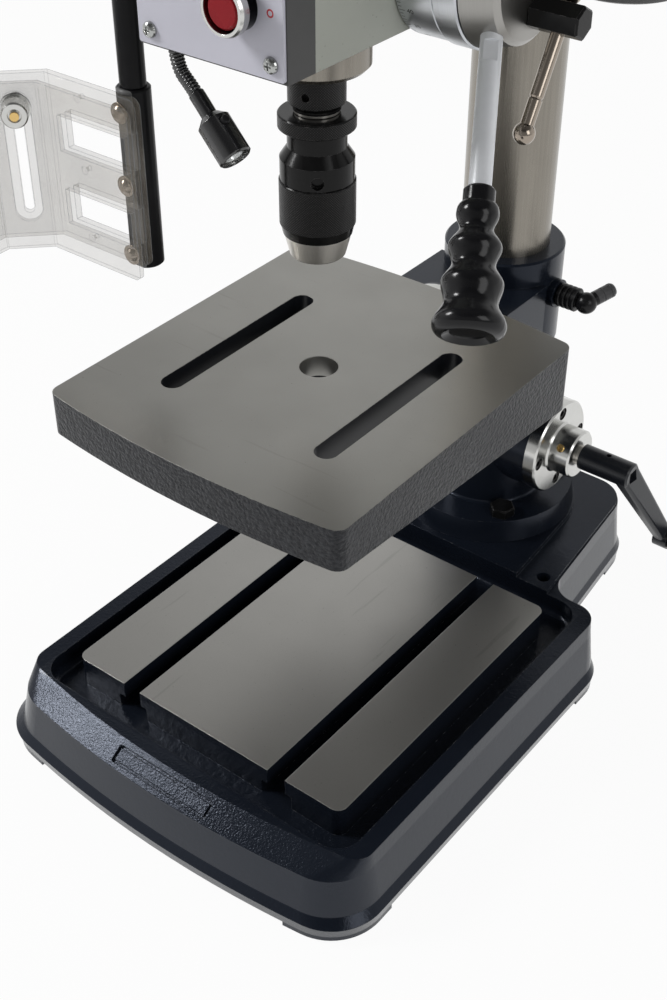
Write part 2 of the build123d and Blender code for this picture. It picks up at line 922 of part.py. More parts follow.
# Crank arm: hub with a square hole, leaning arm and an eye for the grip's pin
arm_root = (crank_arm_hub_end_x - crank_arm_thick / 2, column_y, crank_z)
arm_tip = (
    arm_root[0] + crank_arm_dir[0],
    arm_root[1] + crank_arm_dir[1],
    arm_root[2] + crank_arm_dir[2],
)
crank_grip_start_x = arm_tip[0] + crank_arm_thick / 2 + face_gap
with BuildPart() as crank_arm:
    bar_x(column_y, crank_z, crank_arm_hub_radius, crank_arm_hub_start_x + face_gap, crank_arm_hub_end_x)
    hub_end = crank_arm.edges().group_by(Axis.X)[-1]
    chamfer(hub_end, 1.5)
    root_plane = across(arm_root, crank_arm_dir)
    tip_plane = across(arm_tip, crank_arm_dir)
    with BuildSketch(root_plane) as arm_root_section:
        RectangleRounded(crank_arm_width, crank_arm_thick, 3.5)
    with BuildSketch(tip_plane) as arm_tip_section:
        RectangleRounded(crank_arm_tip_width, crank_arm_thick - 2.0, 3.5)
    loft()
    bar_x(
        arm_tip[1],
        arm_tip[2],
        crank_end_radius,
        arm_tip[0] - crank_arm_thick / 2,
        arm_tip[0] + crank_arm_thick / 2,
    )
    bar_x(
        arm_tip[1],
        arm_tip[2],
        crank_pin_radius,
        arm_tip[0],
        crank_grip_start_x + crank_grip_length - 6.0,
    )
    with BuildSketch(Plane.YZ.offset(crank_arm_hub_start_x)) as square_hole:
        with Locations((column_y, crank_z)):
            Rectangle(crank_square + 2 * seat_fit, crank_square + 2 * seat_fit)
    extrude(amount=crank_arm_hub_end_x - crank_arm_hub_start_x + 8.0, mode=Mode.SUBTRACT)
    bar_z(
        (crank_arm_hub_start_x + crank_arm_hub_end_x) / 2,
        column_y,
        crank_pin_hole_radius,
        crank_z + crank_square / 2,
        crank_z + crank_arm_hub_radius + 2.0,
        Mode.SUBTRACT,
    )
finish(crank_arm, "crank_arm")

with BuildPart() as crank_grip:
    grip_x = crank_grip_start_x
    turned(
        (
            (grip_x, crank_pin_radius + running_fit),
            (grip_x, crank_grip_radius - 4.0),
            (grip_x + 3.0, crank_grip_radius - 2.5),
            (grip_x + crank_grip_length * 0.35, crank_grip_radius - 1.0),
            (grip_x + crank_grip_length * 0.7, crank_grip_radius),
            (grip_x + crank_grip_length - 5.0, crank_grip_radius - 1.0),
            (grip_x + crank_grip_length, crank_grip_radius - 5.0),
            (grip_x + crank_grip_length, 0.0),
            (grip_x + crank_grip_length - 5.0, 0.0),
            (grip_x + crank_grip_length - 5.0, crank_pin_radius + running_fit),
        ),
        (0, arm_tip[1], arm_tip[2]),
        (1, 0, 0),
    )
finish(crank_grip, "crank_grip")

# Lift screw with its bevel wheel
with BuildPart() as lift_screw:
    turned(
        (
            (lower_plug_top_z - screw_plug_thick, 0.0),
            (lower_plug_top_z - screw_plug_thick, screw_journal_radius),
            (lower_plug_top_z + face_gap, screw_journal_radius),
            (lower_plug_top_z + face_gap, bevel_wheel_radius - 7.0),
            (wheel_z - 5.0, bevel_wheel_radius - 7.0),
            (wheel_z - 5.0, bevel_wheel_radius - 1.0),
            (wheel_z, bevel_wheel_radius),
            (wheel_top_z, bevel_wheel_radius - bevel_face),
            (wheel_top_z, bevel_wheel_radius - bevel_face - 7.0),
            (crank_z + bevel_pinion_radius + 4.0, bevel_wheel_radius - bevel_face - 9.0),
            (crank_z + bevel_pinion_radius + 12.0, screw_radius),
            (screw_top_z - screw_plug_thick - face_gap, screw_radius),
            (screw_top_z - screw_plug_thick - face_gap, screw_journal_radius),
            (screw_top_z, screw_journal_radius),
            (screw_top_z, 0.0),
        ),
        (0, column_y, 0),
        (0, 0, 1),
    )
finish(lift_screw, "lift_screw")

key_low_z = lift_nut_z - lift_key_height / 2
key_high_z = lift_nut_z + lift_key_height / 2
key_half_width = key_width / 2 - running_fit
with BuildPart() as lift_nut:
    bar_z(
        0,
        column_y,
        column_bore_radius - running_fit,
        lift_nut_z - lift_nut_height / 2,
        lift_nut_z + lift_nut_height / 2,
    )
    block(-key_half_width, key_half_width, column_y, column_y + lift_key_reach, key_low_z, key_high_z)
    bar_z(0, column_y, screw_radius + running_fit, lift_nut_z - 60.0, lift_nut_z + 60.0, Mode.SUBTRACT)
finish(lift_nut, "lift_nut")

# Table bracket: collar, arm and round trunnion flange
with BuildPart() as table_bracket:
    bar_z(0, column_y, bracket_collar_radius, bracket_low_z, bracket_high_z)
    block(
        -arm_half_width,
        arm_half_width,
        trunnion_rear_y,
        column_y - 15.0,
        bracket_low_z,
        arm_top_z,
    )
    bar_y(0, trunnion_z, trunnion_radius, table_joint_y + face_gap, trunnion_rear_y + 1.0)
    bar_x(column_y, lock_z, lock_boss_radius, column_radius, lock_boss_end_x)
    collar_top = table_bracket.edges().group_by(Axis.Z)[-1]
    chamfer(collar_top, 1.5)
    bar_z(
        0,
        column_y,
        column_radius + running_fit,
        bracket_low_z - 1.0,
        bracket_high_z + 1.0,
        Mode.SUBTRACT,
    )
    block(
        -key_half_width - seat_fit,
        key_half_width + seat_fit,
        column_y + column_bore_radius,
        column_y + lift_key_reach + seat_fit,
        key_low_z - seat_fit,
        key_high_z + seat_fit,
        Mode.SUBTRACT,
    )
    bar_x(column_y, lock_z, lock_screw_radius + running_fit, 0.0, lock_boss_end_x + 1.0, Mode.SUBTRACT)
    bar_y(
        0,
        trunnion_z,
        tilt_bolt_radius + seat_fit,
        table_joint_y - 1.0,
        trunnion_rear_y + 22.0,
        Mode.SUBTRACT,
    )
finish(table_bracket, "table_bracket")

with BuildPart() as tilt_scale:
    with BuildSketch(Plane.XZ.offset(4.0 - trunnion_rear_y)) as scale_band:
        with BuildLine():
            low_turn = radians(90 - scale_half_angle)
            high_turn = radians(90 + scale_half_angle)
            inner = trunnion_radius + scale_gap
            outer = inner + scale_thick
            ThreePointArc(
                (inner * cos(low_turn), trunnion_z + inner * sin(low_turn)),
                (0, trunnion_z + inner),
                (inner * cos(high_turn), trunnion_z + inner * sin(high_turn)),
            )
            Line(
                (inner * cos(high_turn), trunnion_z + inner * sin(high_turn)),
                (outer * cos(high_turn), trunnion_z + outer * sin(high_turn)),
            )
            ThreePointArc(
                (outer * cos(high_turn), trunnion_z + outer * sin(high_turn)),
                (0, trunnion_z + outer),
                (outer * cos(low_turn), trunnion_z + outer * sin(low_turn)),
            )
            Line(
                (outer * cos(low_turn), trunnion_z + outer * sin(low_turn)),
                (inner * cos(low_turn), trunnion_z + inner * sin(low_turn)),
            )
        make_face()
    extrude(amount=scale_width)
finish(tilt_scale, "tilt_scale")

with BuildPart() as tilt_bolt:
    nut_rear_y = table_boss_front_y - face_gap
    bar_y(0, trunnion_z, tilt_bolt_radius, nut_rear_y - tilt_nut_thick - 8.0, trunnion_rear_y + 20.0)
    with BuildSketch(Plane.XZ.offset(-nut_rear_y)) as tilt_nut:
        with Locations((0, trunnion_z)):
            RegularPolygon(tilt_nut_width / 2, 6, major_radius=False)
    extrude(amount=tilt_nut_thick)
finish(tilt_bolt, "tilt_bolt")

lock_handle_dir = (9.0, 22.0, 5.0)
lock_hub_start_x = lock_boss_end_x + face_gap
lock_rib_pitch = (lock_hub_end_x - lock_hub_start_x) / lock_rib_count
with BuildPart() as lock_lever:
    bar_x(column_y, lock_z, lock_screw_radius, column_radius + face_gap, lock_hub_start_x + 1.0)
    # ribbed hub, ball and round handle
    for rib in range(lock_rib_count):
        rib_x = lock_hub_start_x + rib * lock_rib_pitch
        turned(
            (
                (rib_x, 0.0),
                (rib_x, lock_hub_radius - lock_rib_depth),
                (rib_x + 0.3 * lock_rib_pitch, lock_hub_radius),
                (rib_x + 0.8 * lock_rib_pitch, lock_hub_radius),
                (rib_x + lock_rib_pitch, lock_hub_radius - lock_rib_depth),
                (rib_x + lock_rib_pitch, 0.0),
            ),
            (0, column_y, lock_z),
            (1, 0, 0),
        )
    with Locations((lock_ball_x, column_y, lock_z)):
        Sphere(lock_ball_radius)
    bar_x(column_y, lock_z, lock_ball_radius - 2.6, lock_hub_end_x - 1.0, lock_ball_x)
    turned(
        (
            (0.0, 0.0),
            (0.0, lock_handle_radius),
            (14.0, lock_handle_radius),
            (14.4, lock_handle_radius - 0.5),
            (15.0, lock_handle_radius - 0.5),
            (15.4, lock_handle_radius),
            (21.0, lock_handle_radius),
            (21.4, lock_handle_radius - 0.5),
            (22.0, lock_handle_radius - 0.5),
            (22.4, lock_handle_radius),
            (lock_handle_length - 2.5, lock_handle_radius),
            (lock_handle_length - 0.7, lock_handle_radius - 1.0),
            (lock_handle_length, lock_handle_radius - 2.8),
            (lock_handle_length, 0.0),
        ),
        (lock_ball_x, column_y, lock_z),
        lock_handle_dir,
    )
finish(lock_lever, "lock_lever")

# Table plate with skirt, slots, centre hole and tilt boss
with BuildPart() as table_plate:
    with BuildSketch(Plane.XY.offset(table_top_z)) as table_outline:
        with BuildLine():
            ThreePointArc(
                (-table_half_width, table_front_y + table_bow),
                (0, table_front_y),
                (table_half_width, table_front_y + table_bow),
            )
            Line(
                (table_half_width, table_front_y + table_bow),
                (table_half_width, table_rear_y - table_bow),
            )
            ThreePointArc(
                (table_half_width, table_rear_y - table_bow),
                (0, table_rear_y),
                (-table_half_width, table_rear_y - table_bow),
            )
            Line(
                (-table_half_width, table_rear_y - table_bow),
                (-table_half_width, table_front_y + table_bow),
            )
        make_face()
        fillet(table_outline.vertices(), table_corner_radius)
    extrude(amount=-table_skirt_rear)
    with BuildSketch(Plane.YZ) as skirt_slope:
        with BuildLine():
            Polyline(
                (table_front_y - 5.0, table_top_z - table_skirt_front),
                (table_rear_y + 5.0, table_top_z - table_skirt_rear),
                (table_rear_y + 5.0, table_top_z - table_skirt_rear - 50.0),
                (table_front_y - 5.0, table_top_z - table_skirt_rear - 50.0),
                close=True,
            )
        make_face()
    extrude(amount=2 * table_half_width, both=True, mode=Mode.SUBTRACT)
    with BuildSketch(Plane.XY.offset(table_top_z - table_plate_thick)) as table_hollow:
        with Locations((0, (table_front_y + table_rear_y) / 2)):
            RectangleRounded(
                2 * (table_half_width - table_skirt_wall),
                table_rear_y - table_front_y - 2 * (table_skirt_wall + table_bow),
                table_corner_radius,
            )
    extrude(amount=-table_skirt_rear - 20.0, mode=Mode.SUBTRACT)
    # two ribs and the boss that the tilt bolt passes
    for side in (-1, 1):
        block(
            side * table_rib_x - table_rib_thick / 2,
            side * table_rib_x + table_rib_thick / 2,
            table_front_y + table_bow,
            table_rear_y - table_bow,
            table_top_z - table_plate_thick - table_rib_depth + 12.0,
            table_top_z - table_plate_thick,
        )
    # walls that carry the slots and the hole down below the plate
    with BuildSketch(Plane.XY.offset(table_top_z)) as slot_walls:
        with Locations((-table_slot_x, table_slot_y), (table_slot_x, table_slot_y)):
            SlotOverall(
                table_slot_length + 2 * table_slot_wall,
                table_slot_width + 2 * table_slot_wall,
                rotation=90,
            )
        with Locations((0, spindle_y)):
            Circle(table_hole_radius + table_slot_wall)
    extrude(amount=-table_slot_depth)
    bar_y(0, trunnion_z, table_boss_radius, table_boss_front_y, table_joint_y)
    block(
        -table_boss_radius,
        table_boss_radius,
        table_boss_front_y,
        table_rear_y - table_bow,
        trunnion_z,
        table_top_z - table_plate_thick,
    )
    block(
        -2 * table_half_width,
        2 * table_half_width,
        table_rear_y - 20.0,
        table_joint_y + 20.0,
        table_top_z,
        table_top_z + 60.0,
        Mode.SUBTRACT,
    )
    bar_y(
        0,
        trunnion_z,
        tilt_bolt_radius + running_fit,
        table_boss_front_y - 1.0,
        table_joint_y + 1.0,
        Mode.SUBTRACT,
    )
    with BuildSketch(Plane.XY.offset(table_top_z)) as table_slots:
        with Locations((-table_slot_x, table_slot_y), (table_slot_x, table_slot_y)):
            SlotOverall(table_slot_length, table_slot_width, rotation=90)
        with Locations((0, spindle_y)):
            Circle(table_hole_radius)
    extrude(amount=-table_slot_depth, mode=Mode.SUBTRACT)
finish(table_plate, "table_plate")

# Head casting
with BuildPart() as head_casting:
    block(-head_half_width, head_half_width, head_front_y, head_throat_y, head_bottom_z, head_top_z)
    front_edges = head_casting.edges().filter_by(Axis.Z)
    fillet(front_edges.group_by(Axis.Y)[-1], head_edge_radius)
    block(
        -head_half_width,
        head_half_width,
        head_throat_y - 20.0,
        column_y,
        head_clamp_bottom_z,
        head_top_z,
    )
    bar_z(0, column_y, head_clamp_radius, head_clamp_bottom_z, head_top_z)
    block(
        -head_shelf_half_width,
        head_shelf_half_width,
        column_y,
        motor_y,
        head_top_z - head_shelf_thick,
        head_top_z,
    )
    bar_z(0, motor_y, head_shelf_half_width, head_top_z - head_shelf_thick, head_top_z)
    for side in (-1, 1):
        with BuildSketch(Plane.YZ.offset(side * (head_half_width - 8.0) - 4.0)) as gusset:
            with BuildLine():
                Polyline(
                    (column_y + 20.0, head_top_z - head_shelf_thick),
                    (column_y + 20.0, head_clamp_bottom_z + 15.0),
                    (motor_y - motor_radius - motor_fin_height - 4.0, head_top_z - head_shelf_thick),
                    close=True,
                )
            make_face()
        extrude(amount=8.0)
    # bores: quill, pulley sleeve, column, feed shaft with its pinion, and motor spigot
    bar_z(0, spindle_y, quill_radius + running_fit, head_bottom_z - 1.0, sleeve_bottom_z, Mode.SUBTRACT)
    bar_z(0, spindle_y, sleeve_radius + running_fit, sleeve_bottom_z - 1.0, head_top_z + 1.0, Mode.SUBTRACT)
    bar_z(
        0,
        column_y,
        column_radius + seat_fit,
        head_clamp_bottom_z - 1.0,
        column_top_z + 1.0,
        Mode.SUBTRACT,
    )
    pinion_room = pinion_pitch_radius + rack_module + 0.6
    bar_x(feed_y, feed_z, pinion_room, -rack_half_width - 1.0, rack_half_width + 1.0, Mode.SUBTRACT)
    bar_x(
        feed_y,
        feed_z,
        feed_shaft_radius + running_fit,
        -head_half_width - 1.0,
        head_half_width + 1.0,
        Mode.SUBTRACT,
    )
    bar_z(
        0,
        motor_y,
        motor_shaft_radius + 10.0,
        head_top_z - 2 * head_shelf_thick,
        head_top_z + 1.0,
        Mode.SUBTRACT,
    )
finish(head_casting, "head_casting")

with BuildPart() as spring_cap:
    turned(
        (
            (-head_half_width, feed_shaft_radius + 6.0),
            (-head_half_width, spring_cap_radius),
            (spring_cap_end_x + 4.0, spring_cap_radius),
            (spring_cap_end_x, spring_cap_radius - 4.0),
            (spring_cap_end_x, 0.0),
            (spring_cap_end_x + 3.0, 0.0),
            (spring_cap_end_x + 3.0, spring_cap_radius - 6.0),
            (-head_half_width - 3.0, spring_cap_radius - 6.0),
            (-head_half_width - 3.0, feed_shaft_radius + 6.0),
        ),
        (0, feed_y, feed_z),
        (1, 0, 0),
    )
finish(spring_cap, "spring_cap")

# Control box, panel and its screws
with BuildPart() as control_box:
    block(-head_half_width, head_half_width, box_front_y, head_front_y, head_bottom_z, box_top_z)
    block(
        -head_half_width + box_wall,
        head_half_width - box_wall,
        box_front_y - 1.0,
        head_front_y - box_wall,
        head_bottom_z + box_wall,
        box_top_z - box_wall,
        Mode.SUBTRACT,
    )
    for side in (-1, 1):
        for height in (panel_screw_low_z, panel_screw_high_z):
            post = panel_screw_radius + 3.0
            block(
                side * panel_screw_x - post,
                side * panel_screw_x + post,
                box_front_y,
                head_front_y - 1.0,
                height - post,
                height + post,
            )
            bar_y(
                side * panel_screw_x,
                height,
                panel_screw_radius + seat_fit,
                box_front_y - 1.0,
                box_front_y + 12.0,
                Mode.SUBTRACT,
            )
    bar_z(
        lamp_root_x,
        lamp_root_y,
        hose_radius + seat_fit,
        head_bottom_z - 1.0,
        head_bottom_z + 5.0,
        Mode.SUBTRACT,
    )
finish(control_box, "control_box")

with BuildPart() as panel_plate:
    block(
        -head_half_width + panel_side_inset,
        head_half_width - panel_side_inset,
        panel_front_y,
        box_front_y,
        head_bottom_z + panel_end_inset,
        box_top_z - panel_end_inset,
    )
    corner_edges = panel_plate.edges().filter_by(Axis.Y)
    fillet(corner_edges, 1.5)
    for side in (-1, 1):
        for height in (panel_screw_low_z, panel_screw_high_z):
            bar_y(
                side * panel_screw_x,
                height,
                panel_screw_radius + seat_fit,
                panel_front_y - 1.0,
                box_front_y + 1.0,
                Mode.SUBTRACT,
            )
    for place in ((stop_x, stop_z), (start_x, start_z)):
        bar_y(
            place[0],
            place[1],
            bezel_sleeve_radius + seat_fit,
            panel_front_y - 1.0,
            box_front_y + 1.0,
            Mode.SUBTRACT,
        )
finish(panel_plate, "panel_plate")

with BuildPart() as panel_screws:
    for side in (-1, 1):
        for height in (panel_screw_low_z, panel_screw_high_z):
            screw_x = side * panel_screw_x
            turned(
                (
                    (panel_front_y - panel_screw_head_height, 0.0),
                    (panel_front_y - panel_screw_head_height, panel_screw_head_radius * 0.40),
                    (panel_front_y - panel_screw_head_height * 0.85, panel_screw_head_radius * 0.68),
                    (panel_front_y - panel_screw_head_height * 0.58, panel_screw_head_radius * 0.88),
                    (panel_front_y - panel_screw_head_height * 0.25, panel_screw_head_radius * 0.985),
                    (panel_front_y, panel_screw_head_radius),
                    (panel_front_y, panel_screw_radius),
                    (box_front_y + 9.0, panel_screw_radius),
                    (box_front_y + 9.0, 0.0),
                ),
                (screw_x, 0, height),
                (0, 1, 0),
            )
            long_arm = (panel_screw_cross, panel_screw_cross_width)
            for arm in (long_arm, long_arm[::-1]):
                block(
                    screw_x - arm[0] / 2,
                    screw_x + arm[0] / 2,
                    panel_front_y - panel_screw_head_height - 1.0,
                    panel_front_y - panel_screw_head_height + panel_screw_cross_depth,
                    height - arm[1] / 2,
                    height + arm[1] / 2,
                    Mode.SUBTRACT,
                )
finish(panel_screws, "panel_screws")

# Push buttons: two bezels, a stop cap and a start cap
bezel_front_y = panel_front_y - bezel_height
sleeve_end_y = box_front_y + bezel_sleeve_depth
with BuildPart() as button_bezels:
    for place in ((stop_x, stop_z), (start_x, start_z)):
        turned(
            (
                (bezel_front_y, cap_radius + cap_gap),
                (bezel_front_y, bezel_radius - 1.0),
                (bezel_front_y + bezel_slope, bezel_radius),
                (bezel_front_y + bezel_ring_depth, bezel_radius),
                (bezel_front_y + bezel_ring_depth, bezel_base_radius),
                (panel_front_y, bezel_base_radius),
                (panel_front_y, bezel_sleeve_radius),
                (sleeve_end_y, bezel_sleeve_radius),
                (sleeve_end_y, bezel_sleeve_radius - bezel_sleeve_wall),
                (panel_front_y - bezel_floor, bezel_sleeve_radius - bezel_sleeve_wall),
                (panel_front_y - bezel_floor, cap_radius + cap_gap),
            ),
            (place[0], 0, place[1]),
            (0, 1, 0),
        )
finish(button_bezels, "button_bezels")


def button_cap(place):
    """A push button cap with its stem."""
    front_y = bezel_front_y + cap_sink
    stem_radius = bezel_sleeve_radius - bezel_sleeve_wall - cap_stem_gap
    turned(
        (
            (front_y, 0.0),
            (front_y, cap_radius - 1.2),
            (front_y + 1.2, cap_radius),
            (panel_front_y - bezel_floor - cap_travel - face_gap, cap_radius),
            (panel_front_y - bezel_floor - cap_travel - face_gap, stem_radius),
            (sleeve_end_y - 2.0, stem_radius),
            (sleeve_end_y - 2.0, 0.0),
        ),
        (place[0], 0, place[1]),
        (0, 1, 0),
    )


with BuildPart() as stop_button:
    button_cap((stop_x, stop_z))
finish(stop_button, "stop_button")

with BuildPart() as start_button:
    button_cap((start_x, start_z))
finish(start_button, "start_button")

# Quill with the rack cut along its rear
rack_pitch = pi * rack_module
rack_tip_y = spindle_y + rack_pitch_offset + rack_module
rack_root_y = spindle_y + rack_pitch_offset - 1.25 * rack_module
flank = tan(radians(pressure_angle))
tooth_half = rack_pitch / 4 - tooth_backlash / 4
with BuildPart() as quill_sleeve:
    turned(
        (
            (quill_bottom_z, spindle_radius + running_fit),
            (quill_bottom_z, quill_radius - quill_edge),
            (quill_bottom_z + quill_edge, quill_radius),
            (quill_top_z - 1.0, quill_radius),
            (quill_top_z, quill_radius - 1.0),
            (quill_top_z, spindle_radius + running_fit),
            (quill_top_z - quill_land, spindle_radius + running_fit),
            (quill_top_z - quill_land, quill_bore_radius),
            (quill_bottom_z + quill_land, quill_bore_radius),
            (quill_bottom_z + quill_land, spindle_radius + running_fit),
        ),
        (0, spindle_y, 0),
        (0, 0, 1),
    )
    tooth_points = []
    for tooth in range(-rack_teeth_below, rack_teeth_above + 1):
        middle = feed_z + tooth * rack_pitch
        root_half = tooth_half + 1.25 * rack_module * flank
        tip_half = tooth_half - rack_module * flank
        tooth_points.append((rack_root_y, middle - root_half))
        tooth_points.append((rack_tip_y, middle - tip_half))
        tooth_points.append((rack_tip_y, middle + tip_half))
        tooth_points.append((rack_root_y, middle + root_half))
    first_z = feed_z - (rack_teeth_below + 0.5) * rack_pitch
    last_z = feed_z + (rack_teeth_above + 0.5) * rack_pitch
    outside_y = spindle_y + quill_radius + 5.0
    with BuildSketch(Plane.YZ) as rack_cut:
        with BuildLine():
            Polyline(
                (outside_y, first_z),
                (rack_root_y, first_z),
                *tooth_points,
                (rack_root_y, last_z),
                (outside_y, last_z),
                close=True,
            )
        make_face()
    extrude(amount=rack_half_width, both=True, mode=Mode.SUBTRACT)
finish(quill_sleeve, "quill_sleeve")



def pin_hole(turn, height, outside, radius, depth):
    """Cuts a hole for a pin spanner into a ring round the spindle."""
    away = (cos(radians(turn)), sin(radians(turn)), 0)
    start = outside + 1.0
    mouth = (start * away[0], spindle_y + start * away[1], height)
    with BuildSketch(across(mouth, (-away[0], -away[1], 0))) as hole:
        Circle(radius)
    extrude(hole.sketch, amount=depth + 1.0, mode=Mode.SUBTRACT)


# Spindle with its tapered nose, and the knurled nut below the quill
with BuildPart() as spindle_shaft:
    turned(
        (
            (spindle_tip_z, 0.0),
            (spindle_tip_z, spindle_tip_radius),
            (chuck_neck_top_z, spindle_root_radius),
            (draw_ring_low_z, spindle_radius),
            (draw_ring_high_z + face_gap, spindle_radius),
            (draw_ring_high_z + face_gap, spindle_collar_radius),
            (spindle_nut_bottom_z, spindle_collar_radius),
            (spindle_nut_bottom_z, spindle_radius),
            (spindle_top_z - 1.0, spindle_radius),
            (spindle_top_z, spindle_radius - 1.0),
            (spindle_top_z, 0.0),
        ),
        (0, spindle_y, 0),
        (0, 0, 1),
    )
finish(spindle_shaft, "spindle_shaft")

with BuildPart() as spindle_nut:
    turned(
        (
            (spindle_nut_bottom_z, spindle_radius + seat_fit),
            (spindle_nut_bottom_z, spindle_nut_foot_radius),
            (spindle_nut_foot_z, spindle_nut_foot_radius),
            (spindle_nut_edge_z, spindle_nut_radius),
            (spindle_nut_top_z, spindle_nut_radius),
            (spindle_nut_top_z, spindle_radius + seat_fit),
        ),
        (0, spindle_y, 0),
        (0, 0, 1),
    )
    pin_hole(nut_hole_turn, nut_hole_z, spindle_nut_radius, nut_hole_radius, nut_hole_depth)
finish(spindle_nut, "spindle_nut")

with BuildPart() as draw_ring:
    bar_z(0, spindle_y, draw_ring_radius, draw_ring_low_z, draw_ring_high_z)
    chamfer(draw_ring.edges().filter_by(GeomType.CIRCLE), 0.8)
    bar_z(
        0,
        spindle_y,
        spindle_radius + running_fit,
        draw_ring_low_z - 1.0,
        draw_ring_high_z + 1.0,
        Mode.SUBTRACT,
    )
finish(draw_ring, "draw_ring")

# Chuck: body with inclined jaw ways, turning sleeve, nose and three jaws
jaw_lean = radians(jaw_incline)


def jaw_axis(index):
    """The foot and direction of one jaw's inclined way."""
    turn = radians(90 + 120 * index)
    foot_radius = jaw_open + jaw_radius - 0.6
    foot = (foot_radius * cos(turn), spindle_y + foot_radius * sin(turn), jaw_tip_z)
    direction = (sin(jaw_lean) * cos(turn), sin(jaw_lean) * sin(turn), cos(jaw_lean))
    return foot, direction


def jaw_ways():
    """Cuts the three inclined ways."""
    for index in range(3):
        foot, direction = jaw_axis(index)
        with BuildSketch(across(foot, direction)) as way:
            Circle(jaw_radius + running_fit)
        extrude(way.sketch, amount=jaw_length + jaw_rise + 1.0, mode=Mode.SUBTRACT)
        extrude(way.sketch, amount=-20.0, mode=Mode.SUBTRACT)


with BuildPart() as chuck_body:
    turned(
        (
            (chuck_sleeve_low_z, 0.0),
            (chuck_sleeve_low_z, chuck_barrel_radius),
            (chuck_band_low_z, chuck_barrel_radius),
            (chuck_band_low_z, chuck_band_radius),
            (chuck_band_top_z, chuck_band_radius),
            (chuck_shoulder_top_z, chuck_neck_radius),
            (chuck_neck_top_z, chuck_neck_radius),
            (chuck_neck_top_z, 0.0),
        ),
        (0, spindle_y, 0),
        (0, 0, 1),
    )
    turned(
        (
            (spindle_tip_z, 0.0),
            (spindle_tip_z, spindle_tip_radius + seat_fit),
            (chuck_neck_top_z, spindle_root_radius + seat_fit),
            (chuck_neck_top_z, 0.0),
        ),
        (0, spindle_y, 0),
        (0, 0, 1),
        Mode.SUBTRACT,
    )
    bar_z(0, spindle_y, chuck_bore_radius, chuck_sleeve_low_z - 1.0, chuck_bore_top_z, Mode.SUBTRACT)
    jaw_ways()
    pin_hole(chuck_pin_turn, chuck_pin_z, chuck_band_radius, chuck_pin_radius, chuck_pin_depth)
finish(chuck_body, "chuck_body")

with BuildPart() as chuck_nose:
    turned(
        (
            (chuck_nose_tip_z, 0.0),
            (chuck_nose_tip_z, chuck_nose_tip_radius - 1.0),
            (chuck_nose_tip_z + 1.0, chuck_nose_tip_radius),
            (chuck_sleeve_low_z - face_gap, chuck_nose_top_radius),
            (chuck_sleeve_low_z - face_gap, chuck_barrel_radius),
            (chuck_sleeve_low_z, chuck_barrel_radius),
            (chuck_sleeve_low_z, 0.0),
        ),
        (0, spindle_y, 0),
        (0, 0, 1),
    )
    bar_z(
        0,
        spindle_y,
        chuck_bore_radius + 0.6,
        chuck_nose_tip_z - 1.0,
        chuck_sleeve_low_z + 1.0,
        Mode.SUBTRACT,
    )
    jaw_ways()
finish(chuck_nose, "chuck_nose")

with BuildPart() as chuck_sleeve:
    turned(
        (
            (chuck_sleeve_low_z, chuck_barrel_radius + running_fit),
            (chuck_sleeve_low_z, chuck_sleeve_tip_radius),
            (chuck_sleeve_knurl_low_z, chuck_sleeve_radius - 0.6),
            (chuck_sleeve_knurl_low_z + 0.6, chuck_sleeve_radius),
            (chuck_band_low_z - face_gap - 0.6, chuck_sleeve_radius),
            (chuck_band_low_z - face_gap, chuck_sleeve_radius - 0.6),
            (chuck_band_low_z - face_gap, chuck_barrel_radius + running_fit),
        ),
        (0, spindle_y, 0),
        (0, 0, 1),
    )
finish(chuck_sleeve, "chuck_sleeve")


def chuck_jaw(index):
    """One jaw: a round bar on its inclined way with a wedge-shaped gripping face."""
    foot, direction = jaw_axis(index)
    turn = radians(90 + 120 * index)
    with BuildSketch(across(foot, direction)) as rod:
        Circle(jaw_radius)
    extrude(rod.sketch, amount=jaw_length)
    extrude(rod.sketch, amount=-8.0)
    out = (cos(turn), sin(turn))
    aside = (-sin(turn), cos(turn))
    corners = []
    far = jaw_tip_flat + 24.0 * tan(radians(60))
    for place in (
        (jaw_open, -jaw_tip_flat),
        (jaw_open + 24.0, -far),
        (jaw_open + 24.0, far),
        (jaw_open, jaw_tip_flat),
    ):
        corners.append(
            (
                out[0] * place[0] + aside[0] * place[1],
                spindle_y + out[1] * place[0] + aside[1] * place[1],
            )
        )
    with BuildSketch(Plane.XY.offset(jaw_tip_z)) as wedge:
        with BuildLine():
            Polyline(*corners, close=True)
        make_face()
    extrude(wedge.sketch, amount=2 * jaw_length, mode=Mode.INTERSECT)


with BuildPart() as jaw_one:
    chuck_jaw(0)
finish(jaw_one, "jaw_one")

with BuildPart() as jaw_two:
    chuck_jaw(1)
finish(jaw_two, "jaw_two")

with BuildPart() as jaw_three:
    chuck_jaw(2)
finish(jaw_three, "jaw_three")

# Feed shaft with its pinion
base_circle = pinion_pitch_radius * cos(radians(pressure_angle))
pinion_tip_radius = pinion_pitch_radius + rack_module
pinion_root_radius = pinion_pitch_radius - 1.25 * rack_module
flank_steps = 5


def involute(angle):
    """The turn of an involute flank for a pressure angle."""
    return tan(angle) - angle


def flank_turn(radius):
    """Half of the tooth's width at a radius, as an angle."""
    pitch_half = (rack_pitch / 4 - tooth_backlash / 4) / pinion_pitch_radius
    if radius <= base_circle:
        here = 0.0
    else:
        here = involute(acos(base_circle / radius))
    return pitch_half + involute(radians(pressure_angle)) - here


